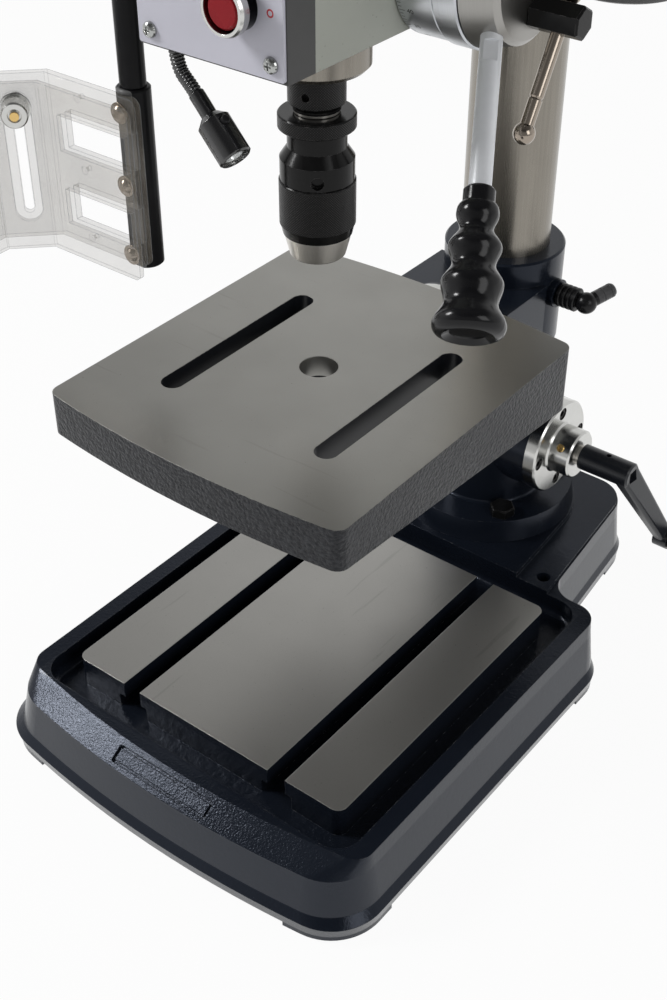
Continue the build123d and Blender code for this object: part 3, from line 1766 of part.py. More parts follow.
tooth_outline = []
for tooth in range(pinion_teeth):
    centre = pi + 2 * pi * (tooth + 0.5) / pinion_teeth
    radii = []
    radii.append(pinion_root_radius)
    for step in range(flank_steps):
        radii.append(base_circle + (pinion_tip_radius - base_circle) * step / (flank_steps - 1))
    for radius in radii:
        turn = centre - flank_turn(radius)
        tooth_outline.append((feed_y + radius * cos(turn), feed_z + radius * sin(turn)))
    for radius in reversed(radii):
        turn = centre + flank_turn(radius)
        tooth_outline.append((feed_y + radius * cos(turn), feed_z + radius * sin(turn)))

with BuildPart() as feed_shaft:
    bar_x(feed_y, feed_z, feed_shaft_radius, feed_shaft_left_x, feed_shaft_right_x)
    with BuildSketch(Plane.YZ.offset(-rack_half_width + 1.0)) as pinion_face:
        with BuildLine():
            Polyline(*tooth_outline, close=True)
        make_face()
    extrude(amount=2 * rack_half_width - 2.0)
finish(feed_shaft, "feed_shaft")

# Feed hub with its spigot, lever sockets and clamp thread


def lever_dir(index):
    """The direction in which one feed lever leaves the hub."""
    turn = radians(lever_first_angle + 360.0 / lever_count * index)
    lean = radians(lever_lean)
    return (sin(lean), -sin(turn) * cos(lean), -cos(turn) * cos(lean))


def lever_flat_dir(index):
    """The direction that one lever's spanner flat faces."""
    turn = radians(lever_first_angle + 360.0 / lever_count * index)
    lean = radians(lever_lean)
    side = radians(lever_flat_turn)
    return (
        sin(side) * cos(lean),
        sin(side) * sin(turn) * sin(lean) - cos(side) * cos(turn),
        sin(side) * cos(turn) * sin(lean) + cos(side) * sin(turn),
    )


lever_root = (lever_root_x, feed_y, feed_z)
with BuildPart() as feed_hub:
    turned(
        (
            (depth_ring_start_x, feed_shaft_radius + seat_fit),
            (depth_ring_start_x, hub_spigot_radius),
            (hub_start_x, hub_spigot_radius),
            (hub_start_x, hub_radius),
            (hub_end_x - 3.0, hub_end_radius + 1.6),
            (hub_end_x, hub_end_radius - 2.0),
            (hub_end_x, 0.0),
            (feed_shaft_right_x + seat_fit, 0.0),
            (feed_shaft_right_x + seat_fit, feed_shaft_radius + seat_fit),
        ),
        (0, feed_y, feed_z),
        (1, 0, 0),
    )
    for index in range(lever_count):
        socket_at = Vector(*lever_root) + Vector(*lever_dir(index)) * lever_socket
        with BuildSketch(across(socket_at, lever_dir(index))) as lever_hole:
            Circle(lever_radius + seat_fit)
        extrude(amount=hub_radius, mode=Mode.SUBTRACT)
    bar_x(
        clamp_y,
        clamp_z,
        clamp_stem_radius + running_fit,
        hub_end_x - clamp_stem_length,
        hub_end_x + 1.0,
        Mode.SUBTRACT,
    )
finish(feed_hub, "feed_hub")

with BuildPart() as depth_ring:
    ring_inner = hub_spigot_radius + running_fit
    turned(
        (
            (depth_ring_start_x, ring_inner),
            (depth_ring_start_x, depth_ring_radius),
            (depth_ring_end_x, depth_ring_radius),
            (depth_ring_end_x, ring_inner),
        ),
        (0, feed_y, feed_z),
        (1, 0, 0),
    )
    ring_edges = depth_ring.edges().filter_by(GeomType.CIRCLE)
    chamfer(ring_edges.filter_by(lambda e: e.radius > ring_inner + 1), 0.6)
finish(depth_ring, "depth_ring")

with BuildPart() as plain_ring:
    turned(
        (
            (depth_ring_end_x + face_gap, hub_spigot_radius + seat_fit),
            (depth_ring_end_x + face_gap, plain_ring_radius - 1.0),
            (depth_ring_end_x + face_gap + 1.0, plain_ring_radius),
            (plain_ring_end_x - 1.0, plain_ring_radius),
            (plain_ring_end_x, plain_ring_radius - 1.0),
            (plain_ring_end_x, hub_spigot_radius + seat_fit),
        ),
        (0, feed_y, feed_z),
        (1, 0, 0),
    )
finish(plain_ring, "plain_ring")

with BuildPart() as lever_rods:
    for index in range(lever_count):
        turned(
            (
                (lever_socket, 0.0),
                (lever_socket, lever_radius),
                (lever_end, lever_radius),
                (lever_end, 0.0),
            ),
            lever_root,
            lever_dir(index),
        )
        flat_at = Vector(*lever_root) + Vector(*lever_dir(index)) * lever_flat_start
        flat_plane = Plane(origin=flat_at, x_dir=lever_flat_dir(index), z_dir=lever_dir(index))
        with BuildSketch(flat_plane) as flats:
            with Locations((lever_flat_width / 2 + 5.0, 0), (-lever_flat_width / 2 - 5.0, 0)):
                Rectangle(10.0, 30.0)
        extrude(amount=lever_flat_end - lever_flat_start, mode=Mode.SUBTRACT)
finish(lever_rods, "lever_rods")

grip_length = grip_end - grip_start
with BuildPart() as lever_grips:
    for index in range(lever_count):
        along = Vector(*lever_dir(index))
        grip_plane = Plane(origin=lever_root, x_dir=along, z_dir=normal_to(lever_dir(index)))
        with BuildSketch(grip_plane) as grip_profile:
            with BuildLine():
                Polyline(
                    (grip_start, lever_radius + seat_fit),
                    (grip_start, grip_collar_radius - 0.9),
                    (grip_start + 1.2, grip_collar_radius),
                    (grip_start + grip_collar_length, grip_collar_radius),
                )
                Spline(
                    (grip_start + grip_collar_length, grip_collar_radius),
                    (grip_start + 0.179 * grip_length, 12.0),
                    (grip_start + 0.273 * grip_length, 9.5),
                    (grip_start + 0.400 * grip_length, 15.0),
                    (grip_start + 0.516 * grip_length, 12.1),
                    (grip_start + 0.651 * grip_length, 17.4),
                    (grip_start + 0.774 * grip_length, 15.1),
                    (grip_start + 0.924 * grip_length, 20.5),
                    (grip_end, grip_end_radius),
                    tangents=[
                        (0.5, 1.0),
                        (1.0, 0.0),
                        (1.0, 0.0),
                        (1.0, 0.0),
                        (1.0, 0.0),
                        (1.0, 0.0),
                        (1.0, 0.0),
                        (1.0, 0.0),
                        (0.25, -1.0),
                    ],
                )
                Polyline(
                    (grip_end, grip_end_radius),
                    (grip_end - 2.5, grip_end_radius - 4.0),
                    (grip_end - 2.5, 0.0),
                    (lever_end + seat_fit, 0.0),
                    (lever_end + seat_fit, lever_radius + seat_fit),
                    (grip_start, lever_radius + seat_fit),
                )
            make_face()
        revolve(axis=Axis(lever_root, along))
finish(lever_grips, "lever_grips")

# Hexagon clamp screw and its sliding tommy bar
tommy_lean = radians(tommy_angle)
tommy_dir = (0.0, -sin(tommy_lean), -cos(tommy_lean))
tommy_at = (tommy_x, clamp_y, clamp_z)
with BuildPart() as clamp_screw:
    with BuildSketch(Plane.YZ.offset(hub_end_x + face_gap)) as clamp_hex:
        with Locations((clamp_y, clamp_z)):
            RegularPolygon(clamp_hex_width / 2, 6, major_radius=False, rotation=120 - tommy_angle)
    extrude(amount=clamp_hex_end_x - hub_end_x - face_gap)
    chamfer(clamp_screw.edges().group_by(Axis.X)[-1], 1.2)
    bar_x(clamp_y, clamp_z, clamp_stem_radius, hub_end_x - clamp_stem_length + 1.0, hub_end_x + 1.0)
    with BuildSketch(across(tommy_at, tommy_dir)) as tommy_hole:
        Circle(tommy_radius + running_fit)
    extrude(amount=clamp_hex_width, both=True, mode=Mode.SUBTRACT)
finish(clamp_screw, "clamp_screw")

with BuildPart() as tommy_bar:
    turned(
        (
            (-tommy_high_reach, 0.0),
            (-tommy_high_reach, tommy_radius),
            (tommy_low_reach - 21.5, tommy_radius),
            (tommy_low_reach - 20.5, tommy_radius - 0.7),
            (tommy_low_reach - 19.5, tommy_radius),
            (tommy_low_reach, tommy_radius),
            (tommy_low_reach, 0.0),
        ),
        tommy_at,
        tommy_dir,
    )
    for reach in (-tommy_high_reach, tommy_low_reach):
        with Locations(Vector(*tommy_at) + Vector(*tommy_dir) * reach):
            Sphere(tommy_ball_radius)
finish(tommy_bar, "tommy_bar")

# Guard: rod with its holder, turning sleeve, folded plate, slider and clamp nut
with BuildPart() as guard_rod:
    turned(
        (
            (guard_sleeve_low_z + guard_sleeve_floor + face_gap, 0.0),
            (guard_sleeve_low_z + guard_sleeve_floor + face_gap, guard_pin_radius),
            (guard_sleeve_high_z + face_gap, guard_pin_radius),
            (guard_sleeve_high_z + face_gap, guard_rod_radius),
            (guard_rod_top_z - 1.0, guard_rod_radius),
            (guard_rod_top_z, guard_rod_radius - 1.0),
            (guard_rod_top_z, 0.0),
        ),
        (guard_rod_x, guard_rod_y, 0),
        (0, 0, 1),
    )
    block(
        guard_rod_x,
        -head_half_width,
        guard_rod_y - guard_holder_half_depth,
        guard_rod_y + guard_holder_half_depth,
        guard_holder_low_z,
        guard_holder_high_z,
    )
    bar_z(guard_rod_x, guard_rod_y, guard_holder_half_depth, guard_holder_low_z, guard_holder_high_z)
finish(guard_rod, "guard_rod")

guard_face_y = guard_rod_y - guard_flat
guard_screw_mid_z = (guard_screw_low_z + guard_screw_high_z) / 2
with BuildPart() as guard_sleeve:
    bar_z(guard_rod_x, guard_rod_y, guard_sleeve_radius, guard_sleeve_low_z, guard_sleeve_high_z)
    chamfer(guard_sleeve.edges().filter_by(GeomType.CIRCLE), 1.0)
    bar_z(
        guard_rod_x,
        guard_rod_y,
        guard_pin_radius + running_fit,
        guard_sleeve_low_z + guard_sleeve_floor,
        guard_sleeve_high_z + 1.0,
        Mode.SUBTRACT,
    )
    block(
        guard_rod_x - 20.0,
        guard_rod_x + 20.0,
        guard_face_y - 20.0,
        guard_face_y,
        guard_sleeve_low_z - 1.0,
        guard_plate_high_z + 0.5,
        Mode.SUBTRACT,
    )
    for height in (guard_screw_low_z, guard_screw_mid_z, guard_screw_high_z):
        bar_y(
            guard_rod_x,
            height,
            guard_screw_radius + seat_fit,
            guard_face_y - 1.0,
            guard_rod_y - guard_pin_radius,
            Mode.SUBTRACT,
        )
finish(guard_sleeve, "guard_sleeve")

fold_turn = radians(guard_fold_angle)
second_dir = (-cos(fold_turn), -sin(fold_turn))


def folded_band(start_x, face_y, thick, fold_shift, second_length, third_length):
    """Plan of a folded sheet: first run along X, then two runs folded forward."""
    mitre = tan(fold_turn / 2)
    front_y = face_y - thick
    fold = guard_fold_x + fold_shift
    inner = []
    outer = []
    inner.append((start_x, front_y))
    outer.append((start_x, face_y))
    inner.append((fold, front_y))
    outer.append((fold - thick * mitre, face_y))
    inner_turn = (fold + second_dir[0] * second_length, front_y + second_dir[1] * second_length)
    outer_turn = (inner_turn[0] - thick, inner_turn[1] + thick * mitre)
    inner.append(inner_turn)
    outer.append(outer_turn)
    if third_length > 0:
        inner.append((inner_turn[0], inner_turn[1] - third_length))
        outer.append((outer_turn[0], inner_turn[1] - third_length))
    else:
        outer[-1] = (inner_turn[0] - thick * sin(fold_turn), inner_turn[1] + thick * cos(fold_turn))
    return inner + outer[::-1]


plate_points = folded_band(
    guard_plate_side_x,
    guard_face_y,
    guard_plate_thick,
    0.0,
    guard_second_panel,
    guard_third_panel,
)
slot_middle = (
    guard_fold_x + second_dir[0] * guard_slot_along,
    guard_face_y - guard_plate_thick + second_dir[1] * guard_slot_along,
    0.0,
)
panel_normal = (-second_dir[1], second_dir[0], 0.0)
slot_plane = Plane(origin=slot_middle, x_dir=(0, 0, 1), z_dir=panel_normal)


def guard_windows(front_y, rear_y):
    """Cuts the two windows through a guard sheet."""
    for low in (guard_window_low_z, guard_window_high_z):
        block(
            guard_window_left_x,
            guard_window_right_x,
            front_y - 1.0,
            rear_y + 1.0,
            low,
            low + guard_window_height,
            Mode.SUBTRACT,
        )


def guard_slot(low, high, width):
    """Cuts an upright slot through the second panel of a guard sheet."""
    with BuildSketch(slot_plane) as slot_face:
        with Locations(((low + high) / 2, 0)):
            SlotOverall(high - low, width)
    extrude(slot_face.sketch, amount=2 * guard_plate_thick, both=True, mode=Mode.SUBTRACT)


plate_front_y = guard_face_y - guard_plate_thick
with BuildPart() as guard_plate:
    with BuildSketch(Plane.XY.offset(guard_plate_low_z)) as plate_plan:
        with BuildLine():
            Polyline(*plate_points, close=True)
        make_face()
    extrude(amount=guard_plate_high_z - guard_plate_low_z)
    plate_corners = guard_plate.edges().filter_by(Axis.Y).group_by(Axis.X)[-1]
    fillet(plate_corners, guard_plate_corner)
    guard_windows(plate_front_y, guard_face_y)
    guard_slot(guard_slot_low_z, guard_slot_high_z, guard_slot_width)
    for height in (guard_screw_low_z, guard_screw_mid_z, guard_screw_high_z):
        bar_y(
            guard_rod_x,
            height,
            guard_screw_radius + seat_fit,
            plate_front_y - 1.0,
            guard_face_y + 1.0,
            Mode.SUBTRACT,
        )
        turned(
            (
                (plate_front_y - 0.5, 0.0),
                (plate_front_y - 0.5, guard_spacer_radius),
                (plate_front_y + guard_spacer_radius / 2, guard_spacer_radius / 2),
                (guard_face_y + 0.5, guard_spacer_radius / 2),
                (guard_face_y + 0.5, 0.0),
            ),
            (guard_spacer_x, 0, height),
            (0, 1, 0),
            Mode.SUBTRACT,
        )
finish(guard_plate, "guard_plate")

with BuildPart() as guard_screws:
    washer_y = plate_front_y - guard_screw_washer_thick
    for height in (guard_screw_low_z, guard_screw_mid_z, guard_screw_high_z):
        turned(
            (
                (washer_y - guard_screw_head_height, 0.0),
                (washer_y - guard_screw_head_height, guard_screw_head_radius * 0.6),
                (washer_y - guard_screw_head_height * 0.4, guard_screw_head_radius * 0.95),
                (washer_y, guard_screw_head_radius),
                (washer_y, guard_screw_washer_radius),
                (plate_front_y, guard_screw_washer_radius),
                (plate_front_y, guard_screw_radius),
                (guard_rod_y - guard_pin_radius - 0.6, guard_screw_radius),
                (guard_rod_y - guard_pin_radius - 0.6, 0.0),
            ),
            (guard_rod_x, 0, height),
            (0, 1, 0),
        )
finish(guard_screws, "guard_screws")

# The front sheet clears the screw heads on its first panel and lies close to the plate on the others
slider_face_y = plate_front_y - guard_screw_room
slider_front_y = slider_face_y - guard_slider_thick
first_spacing = guard_screw_room + guard_slider_thick
second_spacing = guard_slider_gap + guard_slider_thick
slider_shift = second_spacing / sin(fold_turn) - first_spacing / tan(fold_turn)
slider_second = guard_second_panel + (slider_shift - second_spacing) / cos(fold_turn)
slider_third = guard_third_panel - first_spacing + (guard_second_panel - slider_second) * sin(fold_turn)
slider_points = folded_band(
    guard_slider_side_x,
    slider_face_y,
    guard_slider_thick,
    slider_shift,
    slider_second,
    slider_third,
)
with BuildPart() as guard_slider:
    with BuildSketch(Plane.XY.offset(guard_slider_low_z)) as slider_plan:
        with BuildLine():
            Polyline(*slider_points, close=True)
        make_face()
    extrude(amount=guard_slider_high_z - guard_slider_low_z)
    slider_corners = guard_slider.edges().filter_by(Axis.Y).group_by(Axis.X)[-1]
    fillet(slider_corners, guard_slider_corner)
    guard_windows(slider_front_y, slider_face_y)
    guard_slot(guard_slider_slot_low_z, guard_slider_slot_high_z, guard_slider_slot_width)
finish(guard_slider, "guard_slider")

# Clamp nut with its washer in front, and its stud and rear head through both slots
stud_at = Vector(*slot_middle) + Vector(0, 0, guard_stud_z)
washer_start = second_spacing + face_gap
knob_start = washer_start + guard_washer_thick
knob_end = knob_start + guard_knob_height
head_start = -guard_plate_thick - face_gap
with BuildPart() as guard_nut:
    turned(
        (
            (head_start - guard_stud_head_thick, 0.0),
            (head_start - guard_stud_head_thick, guard_stud_head_radius),
            (head_start, guard_stud_head_radius),
            (head_start, guard_stud_radius),
            (washer_start, guard_stud_radius),
            (washer_start, guard_washer_radius),
            (knob_start, guard_washer_radius),
            (knob_start, guard_knob_radius),
            (knob_end - 1.0, guard_knob_radius),
            (knob_end, guard_knob_radius - 1.0),
            (knob_end, guard_stud_radius + 1.5),
            (knob_end - 2.0, guard_stud_radius + 1.5),
            (knob_end - 2.0, guard_stud_radius),
            (knob_end + 1.5, guard_stud_radius),
            (knob_end + 1.5, 0.0),
        ),
        stud_at,
        panel_normal,
    )
finish(guard_nut, "guard_nut")

# Lamp: ribbed gooseneck, body with lens, and its push switch
lamp_side = Vector(cos(radians(lamp_heading)), sin(radians(lamp_heading)), 0)
lamp_down = Vector(0, 0, -1)
lamp_square = lamp_side.cross(lamp_down)
hose_start = Vector(lamp_root_x, lamp_root_y, head_bottom_z + 2 * hose_radius)
hose_first_straight = 2 * hose_radius + 2.0
bend_length = hose_bend_radius * radians(lamp_turn)
hose_length = hose_first_straight + bend_length + hose_end_straight


def hose_point(run):
    """The point and heading of the gooseneck after a run along it."""
    if run <= hose_first_straight:
        return hose_start + lamp_down * run, lamp_down
    corner = hose_start + lamp_down * hose_first_straight
    turned_by = min((run - hose_first_straight) / hose_bend_radius, radians(lamp_turn))
    point = (
        corner
        + lamp_side * (hose_bend_radius * (1 - cos(turned_by)))
        + lamp_down * (hose_bend_radius * sin(turned_by))
    )
    heading_now = lamp_down * cos(turned_by) + lamp_side * sin(turned_by)
    rest = run - hose_first_straight - hose_bend_radius * turned_by
    return point + heading_now * max(rest, 0.0), heading_now


def hose_section(run, radius):
    """One round section of the gooseneck."""
    point, heading_now = hose_point(run)
    with BuildSketch(Plane(origin=point, x_dir=lamp_square, z_dir=heading_now)) as ring:
        Circle(radius)
    return ring.sketch


rib_count = int(hose_length / hose_pitch)
rib_run = hose_length / rib_count
outer_sections = []
inner_sections = []
for rib in range(rib_count):
    start_run = rib * rib_run
    outer_sections.append(hose_section(start_run + 0.04 * rib_run, hose_valley_radius))
    outer_sections.append(hose_section(start_run + 0.30 * rib_run, hose_radius))
    outer_sections.append(hose_section(start_run + 0.70 * rib_run, hose_radius))
    outer_sections.append(hose_section(start_run + 0.96 * rib_run, hose_valley_radius))
for rib in range(rib_count + 1):
    inner_sections.append(hose_section(rib * rib_run, hose_bore_radius))
with BuildPart() as lamp_hose:
    loft(outer_sections, ruled=True)
    loft(inner_sections, ruled=True, mode=Mode.SUBTRACT)
finish(lamp_hose, "lamp_hose")

hose_end, lamp_axis = hose_point(hose_length)
lamp_at = hose_end - lamp_axis * lamp_socket_depth
lamp_up = lamp_square.cross(lamp_axis).normalized()
if lamp_up.Z < 0:
    lamp_up = lamp_up * -1
switch_at = lamp_at + lamp_axis * lamp_switch_along
with BuildPart() as lamp_body:
    turned(
        (
            (0.0, hose_radius + seat_fit),
            (0.0, lamp_neck_radius - 1.0),
            (1.0, lamp_neck_radius),
            (lamp_shoulder, lamp_body_radius),
            (lamp_body_length - 1.0, lamp_body_radius),
            (lamp_body_length, lamp_body_radius - 1.0),
            (lamp_body_length, lamp_lens_radius + seat_fit),
            (lamp_body_length - lamp_lens_inset - lamp_lens_thick, lamp_lens_radius + seat_fit),
            (lamp_body_length - lamp_lens_inset - lamp_lens_thick, lamp_hollow_radius),
            (lamp_body_length / 2, lamp_hollow_radius),
            (lamp_socket_depth + seat_fit, 0.0),
            (lamp_socket_depth + seat_fit, hose_radius + seat_fit),
        ),
        lamp_at,
        lamp_axis,
    )
    with BuildSketch(across(switch_at + lamp_up * 3.0, lamp_up)) as switch_hole:
        Circle(lamp_switch_radius + 0.3)
    extrude(amount=20.0, mode=Mode.SUBTRACT)
finish(lamp_body, "lamp_body")

with BuildPart() as lamp_lens:
    lens_back = lamp_body_length - lamp_lens_inset - lamp_lens_thick
    turned(
        (
            (lens_back, 0.0),
            (lens_back, lamp_lens_radius),
            (lens_back + lamp_lens_thick, lamp_lens_radius),
            (lens_back + lamp_lens_thick, 0.0),
        ),
        lamp_at,
        lamp_axis,
    )
finish(lamp_lens, "lamp_lens")

with BuildPart() as lamp_switch:
    turned(
        (
            (3.0 + lamp_switch_travel + 0.2, 0.0),
            (3.0 + lamp_switch_travel + 0.2, lamp_switch_radius),
            (lamp_body_radius + lamp_switch_rise - 0.6, lamp_switch_radius),
            (lamp_body_radius + lamp_switch_rise, lamp_switch_radius - 0.6),
            (lamp_body_radius + lamp_switch_rise, 0.0),
        ),
        switch_at,
        lamp_up,
    )
finish(lamp_switch, "lamp_switch")

# Belt drive: tray, sleeve bearing, two stepped pulleys, belt and cover
tray_top_z = head_top_z + tray_thick


def drive_plan(height, grow):
    """Plan of the belt housing: two rounds joined by straight sides."""
    front_round = tray_spindle_radius + grow
    rear_round = tray_motor_radius + grow
    span = motor_y - spindle_y
    lean = asin((front_round - rear_round) / span)
    front_touch = (front_round * cos(lean), spindle_y + front_round * sin(lean))
    rear_touch = (rear_round * cos(lean), motor_y + rear_round * sin(lean))
    with BuildSketch(Plane.XY.offset(height)) as plan:
        with BuildLine():
            ThreePointArc(
                (-front_touch[0], front_touch[1]),
                (0, spindle_y - front_round),
                front_touch,
            )
            Line(front_touch, rear_touch)
            ThreePointArc(
                rear_touch,
                (0, motor_y + rear_round),
                (-rear_touch[0], rear_touch[1]),
            )
            Line((-rear_touch[0], rear_touch[1]), (-front_touch[0], front_touch[1]))
        make_face()
    return plan.sketch


hinge_x = -tray_spindle_radius - hinge_radius - hinge_wall_gap
hinge_z = tray_top_z + hinge_radius + hinge_lift
# The rim stands clear of the arc that the foot of the cover's wall swings through
wall_from_hinge = hinge_radius + hinge_wall_gap + cover_wall
rim_gap = hypot(wall_from_hinge, hinge_radius + hinge_lift) - wall_from_hinge + face_gap
hinge_places = (spindle_y + 60.0, motor_y - 60.0)
with BuildPart() as belt_tray:
    extrude(drive_plan(head_top_z, 0.0), amount=tray_thick)
    bar_z(0, spindle_y, sleeve_radius + 2.0, head_top_z - 1.0, tray_top_z + 1.0, Mode.SUBTRACT)
    bar_z(0, motor_y, motor_shaft_radius + 6.0, head_top_z - 1.0, tray_top_z + 1.0, Mode.SUBTRACT)
    extrude(drive_plan(tray_top_z, -cover_wall - rim_gap), amount=tray_rim)
    extrude(drive_plan(tray_top_z, -cover_wall - rim_gap - rim_thick), amount=tray_rim + 1.0, mode=Mode.SUBTRACT)
    for place in hinge_places:
        bar_y(hinge_x, hinge_z, hinge_radius / 2, place - 22.0, place + 22.0)
        for end in (-1, 1):
            middle = place + end * 17.0
            block(
                hinge_x - hinge_radius,
                hinge_x + hinge_radius,
                middle - 4.0,
                middle + 4.0,
                tray_top_z - tray_thick,
                hinge_z + hinge_radius,
            )
            block(
                hinge_x - hinge_radius,
                -tray_motor_radius + 10.0,
                middle - 4.0,
                middle + 4.0,
                head_top_z - 3.0,
                head_top_z,
            )
finish(belt_tray, "belt_tray")

def pulley_profile(radii, inner_radius):
    """Profile of a stepped pulley with a belt groove in each step."""
    points = []
    points.append((pulley_bottom_z, inner_radius))
    low = pulley_bottom_z
    for radius in radii:
        land = (pulley_step_height - belt_height - 2.0) / 2
        points.append((low, radius))
        points.append((low + land, radius))
        points.append((low + land, radius - belt_width))
        points.append((low + pulley_step_height - land, radius - belt_width))
        points.append((low + pulley_step_height - land, radius))
        points.append((low + pulley_step_height, radius))
        low = low + pulley_step_height
    points.append((low, inner_radius))
    return points


spindle_steps = (
    pulley_large_radius,
    pulley_large_radius - pulley_step,
    pulley_large_radius - 2 * pulley_step,
)
motor_steps = (
    motor_pulley_small_radius,
    motor_pulley_small_radius + pulley_step,
    motor_pulley_small_radius + 2 * pulley_step,
)
with BuildPart() as spindle_pulley:
    turned(pulley_profile(spindle_steps, spindle_radius + running_fit), (0, spindle_y, 0), (0, 0, 1))
    turned(
        (
            (sleeve_bottom_z, spindle_radius + running_fit),
            (sleeve_bottom_z, sleeve_radius),
            (pulley_bottom_z, sleeve_radius),
            (pulley_bottom_z, spindle_radius + running_fit),
        ),
        (0, spindle_y, 0),
        (0, 0, 1),
    )
finish(spindle_pulley, "spindle_pulley")

# Motor shaft with its fan and stepped pulley
with BuildPart() as motor_pulley:
    turned(pulley_profile(motor_steps, 0.0), (0, motor_y, 0), (0, 0, 1))
    bar_z(
        0,
        motor_y,
        motor_shaft_radius,
        motor_bottom_z + 8.0,
        pulley_bottom_z + 3 * pulley_step_height + 3.0,
    )
    bar_z(0, motor_y, motor_radius - 14.0, motor_bottom_z + 14.0, motor_cowl_top_z - 6.0)
    with Locations((0, motor_y, 0)):
        with PolarLocations(motor_radius - 22.0, 8):
            with Locations((0, 0, motor_bottom_z + 16.0)):
                Box(26.0, 10.0, 16.0, align=from_end, mode=Mode.SUBTRACT)
finish(motor_pulley, "motor_pulley")

belt_low_z = pulley_bottom_z + 1.5 * pulley_step_height - belt_height / 2
belt_spindle_radius = spindle_steps[1] - belt_width + face_gap
belt_motor_radius = motor_steps[1] - belt_width + face_gap


def belt_plan(grow):
    """Plan of the belt's inner or outer edge around both pulleys."""
    front_round = belt_spindle_radius + grow
    rear_round = belt_motor_radius + grow
    span = motor_y - spindle_y
    lean = asin((front_round - rear_round) / span)
    front_touch = (front_round * cos(lean), spindle_y + front_round * sin(lean))
    rear_touch = (rear_round * cos(lean), motor_y + rear_round * sin(lean))
    with BuildSketch(Plane.XY.offset(belt_low_z)) as plan:
        with BuildLine():
            ThreePointArc((-front_touch[0], front_touch[1]), (0, spindle_y - front_round), front_touch)
            Line(front_touch, rear_touch)
            ThreePointArc(rear_touch, (0, motor_y + rear_round), (-rear_touch[0], rear_touch[1]))
            Line((-rear_touch[0], rear_touch[1]), (-front_touch[0], front_touch[1]))
        make_face()
    return plan.sketch


with BuildPart() as drive_belt:
    extrude(belt_plan(belt_width), amount=belt_height)
    extrude(belt_plan(0.0), amount=belt_height, mode=Mode.SUBTRACT)
finish(drive_belt, "drive_belt")

with BuildPart() as belt_cover:
    extrude(drive_plan(tray_top_z + face_gap, 0.0), amount=cover_top_z - tray_top_z - face_gap)
    top_rim = belt_cover.edges().group_by(Axis.Z)[-1]
    fillet(top_rim, cover_edge_radius)
    extrude(
        drive_plan(tray_top_z, -cover_wall),
        amount=cover_top_z - cover_edge_radius - tray_top_z,
        mode=Mode.SUBTRACT,
    )
    extrude(
        drive_plan(tray_top_z, -cover_wall - cover_edge_radius / 2),
        amount=cover_top_z - cover_wall - tray_top_z,
        mode=Mode.SUBTRACT,
    )
    for place in hinge_places:
        block(
            hinge_x - hinge_radius,
            -tray_motor_radius + 1.0,
            place - 12.0,
            place + 12.0,
            hinge_z - hinge_radius,
            hinge_z + hinge_radius,
        )
        bar_y(hinge_x, hinge_z, hinge_radius / 2 + running_fit, place - 13.0, place + 13.0, Mode.SUBTRACT)
    extrude(
        drive_plan(tray_top_z, -cover_wall),
        amount=4 * hinge_radius,
        mode=Mode.SUBTRACT,
    )
finish(belt_cover, "belt_cover")


# Motor housing with fins, cowl and terminal box
shelf_bottom_z = head_top_z - head_shelf_thick
terminal_y = motor_y + motor_radius
with BuildPart() as motor_body:
    turned(
        (
            (motor_bottom_z, 0.0),
            (motor_bottom_z, motor_radius - 12.0),
            (motor_bottom_z + 3.0, motor_radius - 5.0),
            (motor_bottom_z + 10.0, motor_radius + 1.0),
            (motor_cowl_top_z, motor_radius + 1.0),
            (motor_cowl_top_z, motor_radius),
            (shelf_bottom_z - motor_flange_thick, motor_radius),
            (shelf_bottom_z - motor_flange_thick, motor_flange_radius),
            (shelf_bottom_z, motor_flange_radius),
            (shelf_bottom_z, motor_shaft_radius + running_fit),
            (motor_cowl_top_z, motor_shaft_radius + running_fit),
            (motor_cowl_top_z, motor_radius - 3.0),
            (motor_bottom_z + 11.0, motor_radius - 1.5),
            (motor_bottom_z + 5.0, motor_radius - 7.0),
            (motor_bottom_z + 2.5, motor_radius - 13.0),
            (motor_bottom_z + 2.5, 0.0),
        ),
        (0, motor_y, 0),
        (0, 0, 1),
    )
    with Locations((0, motor_y, 0)):
        with PolarLocations(motor_radius, motor_fin_count):
            with Locations((0, 0, motor_cowl_top_z + 6.0)):
                Box(
                    2 * motor_fin_height,
                    3.0,
                    shelf_bottom_z - motor_flange_thick - motor_cowl_top_z - 12.0,
                    align=from_end,
                )
    with BuildSketch(Plane.XY.offset(motor_bottom_z - 1.0)) as vents:
        with Locations((0, motor_y)):
            with PolarLocations(28.0, 16):
                SlotOverall(22.0, 4.0)
    extrude(amount=5.0, mode=Mode.SUBTRACT)
    block(
        -terminal_half_width,
        terminal_half_width,
        terminal_y - 6.0,
        terminal_y + terminal_depth,
        terminal_low_z,
        terminal_high_z,
    )
    bar_z(
        0,
        terminal_y + terminal_depth / 2 + 3.0,
        gland_stem_radius + seat_fit,
        terminal_low_z - 1.0,
        terminal_low_z + 6.0,
        Mode.SUBTRACT,
    )
finish(motor_body, "motor_body")

with BuildPart() as cable_gland:
    turned(
        (
            (terminal_low_z + 5.0, gland_bore_radius),
            (terminal_low_z + 5.0, gland_stem_radius),
            (terminal_low_z, gland_stem_radius),
            (terminal_low_z, gland_radius),
            (terminal_low_z - gland_length * 0.55, gland_radius),
            (terminal_low_z - gland_length * 0.6, gland_radius - 2.0),
            (terminal_low_z - gland_length, gland_radius - 4.0),
            (terminal_low_z - gland_length, gland_bore_radius),
        ),
        (0, terminal_y + terminal_depth / 2 + 3.0, 0),
        (0, 0, 1),
    )
finish(cable_gland, "cable_gland")
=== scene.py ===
import math
from functools import partial

